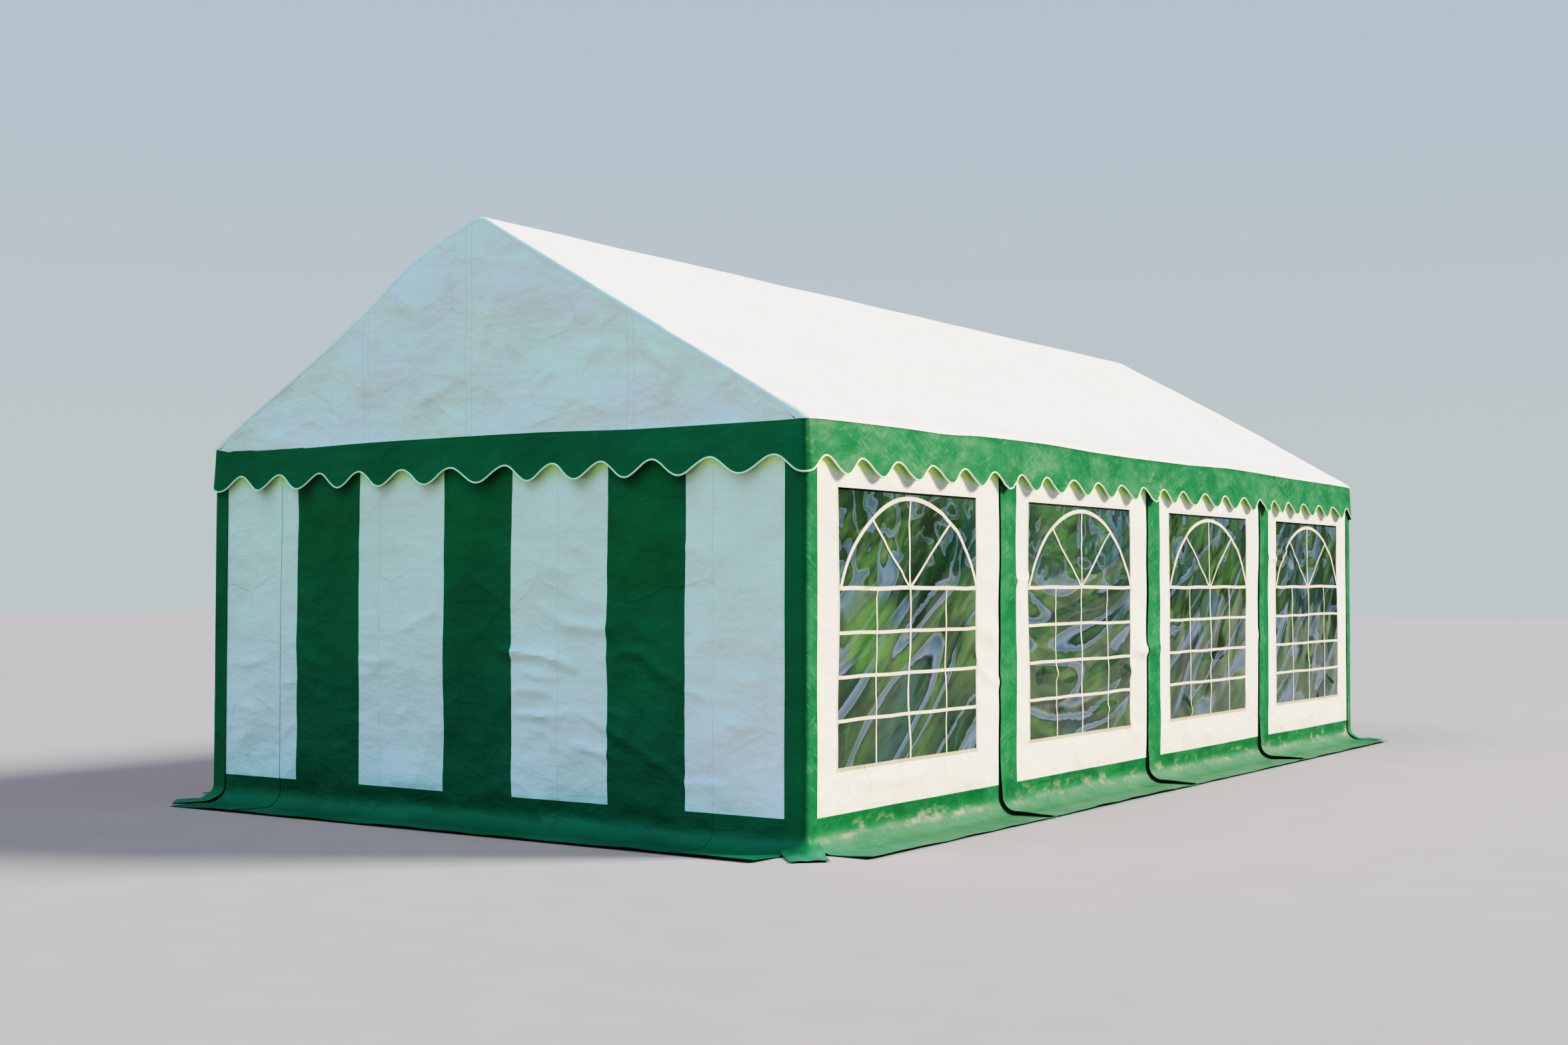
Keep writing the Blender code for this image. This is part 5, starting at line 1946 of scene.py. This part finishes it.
def build_stage():
    near, far = -FLOOR_REACH, FLOOR_REACH
    points = np.array([(near, near, 0.0), (far, near, 0.0), (far, far, 0.0), (near, far, 0.0)])
    floor = new_piece("floor", points, np.array([[0, 1, 2, 3]]))
    floor.location.z = -FLOOR_DROP
    finish, shader, spot = new_finish("floor_paper")
    feed(shader, Base_Color=clouds(spot, 3.0, 5.0).pick(FLOOR_DARK, FLOOR_PALE), Roughness=0.9)
    floor.data.materials.append(finish)
    floor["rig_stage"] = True
    return floor


def light_group(name, piece, state):
    """What a lamp lights: this piece alone for INCLUDE, all but it for EXCLUDE."""
    group = bpy.data.collections.new(name)
    group.objects.link(piece)
    group.collection_objects[0].light_linking.link_state = state
    return group


def add_lamp(name, lights, way, energy, spread, colour):
    """A lamp far off in one direction; spread is how wide it looks, in degrees."""
    lamp = bpy.data.lights.new(name, "SUN")
    lamp.energy = energy
    lamp.angle = math.radians(spread)
    lamp.color = colour
    holder = bpy.data.objects.new(name, lamp)
    bpy.context.scene.collection.objects.link(holder)
    holder.rotation_euler = Vector(way).to_track_quat("Z", "Y").to_euler()
    holder.light_linking.receiver_collection = lights


floor = build_stage()
TENT = light_group("all_but_the_floor", floor, "EXCLUDE")
FLOOR = light_group("floor_alone", floor, "INCLUDE")
LOW = (0.66, 0.56, 0.50)  # the way to the low lamp
HIGH = (-0.25, -0.50, 0.83)  # and to the soft one over the front
FRONT = (-0.25, -0.96, 0.10)  # and to the pale card before the gable
LAMPS = {  # what it lights, the way to it, strength, width in degrees, colour
    "low_lamp": (TENT, LOW, 6.2, 16.0, (1.0, 0.76, 0.575)),
    "front_softbox": (TENT, HIGH, 1.8, 45.0, (0.35, 0.755, 1.0)),
    "front_card": (TENT, FRONT, 0.45, 60.0, (0.42, 1.0, 0.62)),
    "low_lamp_on_floor": (FLOOR, LOW, 5.15, 16.0, (1.0, 0.977, 0.94)),
    "softbox_on_floor": (FLOOR, HIGH, 1.36, 45.0, (1.0, 0.75, 0.75)),
}
for name, facts in LAMPS.items():
    add_lamp(name, *facts)
print("lamps:", len(LAMPS))

# %% [markdown]
# What shiny cloth and film mirror matters as much as what lights them. So the world
# gives three answers: a soft even light for shading, a darker room with bright panels
# for rays that bounced off gloss, and a pale backdrop for the camera. The Light Path
# node tells which kind of ray asks.

# %% The room around
ROOM_DARK = (0.015, 0.03, 0.015, 1.0)
ROOM_PANEL = (0.26, 0.34, 0.42, 1.0)
ROOM_CEILING = (0.35, 0.48, 0.58, 1.0)
SOFT_LOW = (0.10, 0.20, 0.18, 1.0)
SOFT_HIGH = (0.14, 0.26, 0.34, 1.0)
BACKDROP_LOW = (0.52, 0.57, 0.58, 1.0)
BACKDROP_HIGH = (0.42, 0.53, 0.62, 1.0)


def light_room():
    """What lights the tent from all sides, what its gloss mirrors, and what is seen."""
    world = bpy.data.worlds.new("studio")
    bpy.context.scene.world = world
    world.use_nodes = True
    tree = world.node_tree
    rays = tree.nodes.new("ShaderNodeLightPath")
    seen = Wire(tree, rays.outputs["Is Camera Ray"])
    glossy = Wire(tree, rays.outputs["Is Glossy Ray"])
    way = Wire(tree, tree.nodes.new("ShaderNodeTexCoord").outputs["Generated"])
    up = way.parts()[2]
    panels = clouds(way * (1.0, 1.0, 1.6), 2.6, 2.0).rise(0.48, 0.58)
    room = up.rise(0.35, 0.85).pick(panels.pick(ROOM_DARK, ROOM_PANEL), ROOM_CEILING)
    soft = up.rise(-0.1, 0.9).pick(SOFT_LOW, SOFT_HIGH)
    backdrop = up.rise(-0.02, 0.35).pick(BACKDROP_LOW, BACKDROP_HIGH)
    feed(tree.nodes["Background"], Color=seen.pick(glossy.pick(soft, room), backdrop), Strength=1.0)
    return len(tree.nodes)


print("nodes in the room:", light_room())

# %% [markdown]
# A camera doesn't record light evenly: it deepens the shadows and flattens the
# brightest whites. A tone curve over the plain view does the same. The camera stands
# low, near the front right corner, with a lens a little shorter than standard.

# %% Tones and camera
TONES = (  # light, and what the camera makes of it
    (0.0, 0.0), (0.03, 0.018), (0.06, 0.054), (0.10, 0.140), (0.15, 0.275), (0.20, 0.375),
    (0.30, 0.515), (0.45, 0.715), (0.62, 0.845), (0.80, 0.895), (1.0, 0.935),
)
WHITE_LEVEL = 1.7
LENS = 44.87  # millimetres
SENSOR = 36.0  # its width
CAMERA_AT = (6.8333, -11.4881, 1.243)
AZIMUTH = math.radians(33.476)
ELEVATION = math.radians(-1.753)
ROLL = 0.0014


def set_tones():
    """A camera's answer to light: deeper shadows, and a soft shoulder for the whites."""
    view = bpy.context.scene.view_settings
    view.view_transform = "Standard"
    view.use_curve_mapping = True
    curves = view.curve_mapping
    curves.white_level = (WHITE_LEVEL, WHITE_LEVEL, WHITE_LEVEL)
    points = curves.curves[3].points
    points[0].location = TONES[0]
    points[1].location = TONES[-1]
    for tone in TONES[1:-1]:
        points.new(*tone)
    curves.update()


def set_camera():
    """The reference view: low, at the front right corner."""
    lens = bpy.data.cameras.new("camera")
    lens.lens = LENS
    lens.sensor_width = SENSOR
    lens.clip_end = 200.0
    camera = bpy.data.objects.new("camera", lens)
    bpy.context.scene.collection.objects.link(camera)
    level = math.cos(ELEVATION)
    back = (math.sin(AZIMUTH) * level, -math.cos(AZIMUTH) * level, math.sin(ELEVATION))
    turn = Vector(back).to_track_quat("Z", "Y").to_matrix().to_4x4()
    camera.matrix_world = Matrix.Translation(CAMERA_AT) @ turn @ Matrix.Rotation(ROLL, 4, "Z")
    bpy.context.scene.camera = camera


set_tones()
set_camera()
print(f"the camera stands {math.hypot(*CAMERA_AT[:2]):.1f} m from the tent's middle")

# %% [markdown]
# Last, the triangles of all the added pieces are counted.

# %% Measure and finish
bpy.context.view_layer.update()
triangles = sum(
    2 * len(piece.data.polygons)
    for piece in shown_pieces()
    if "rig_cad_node" not in piece
)
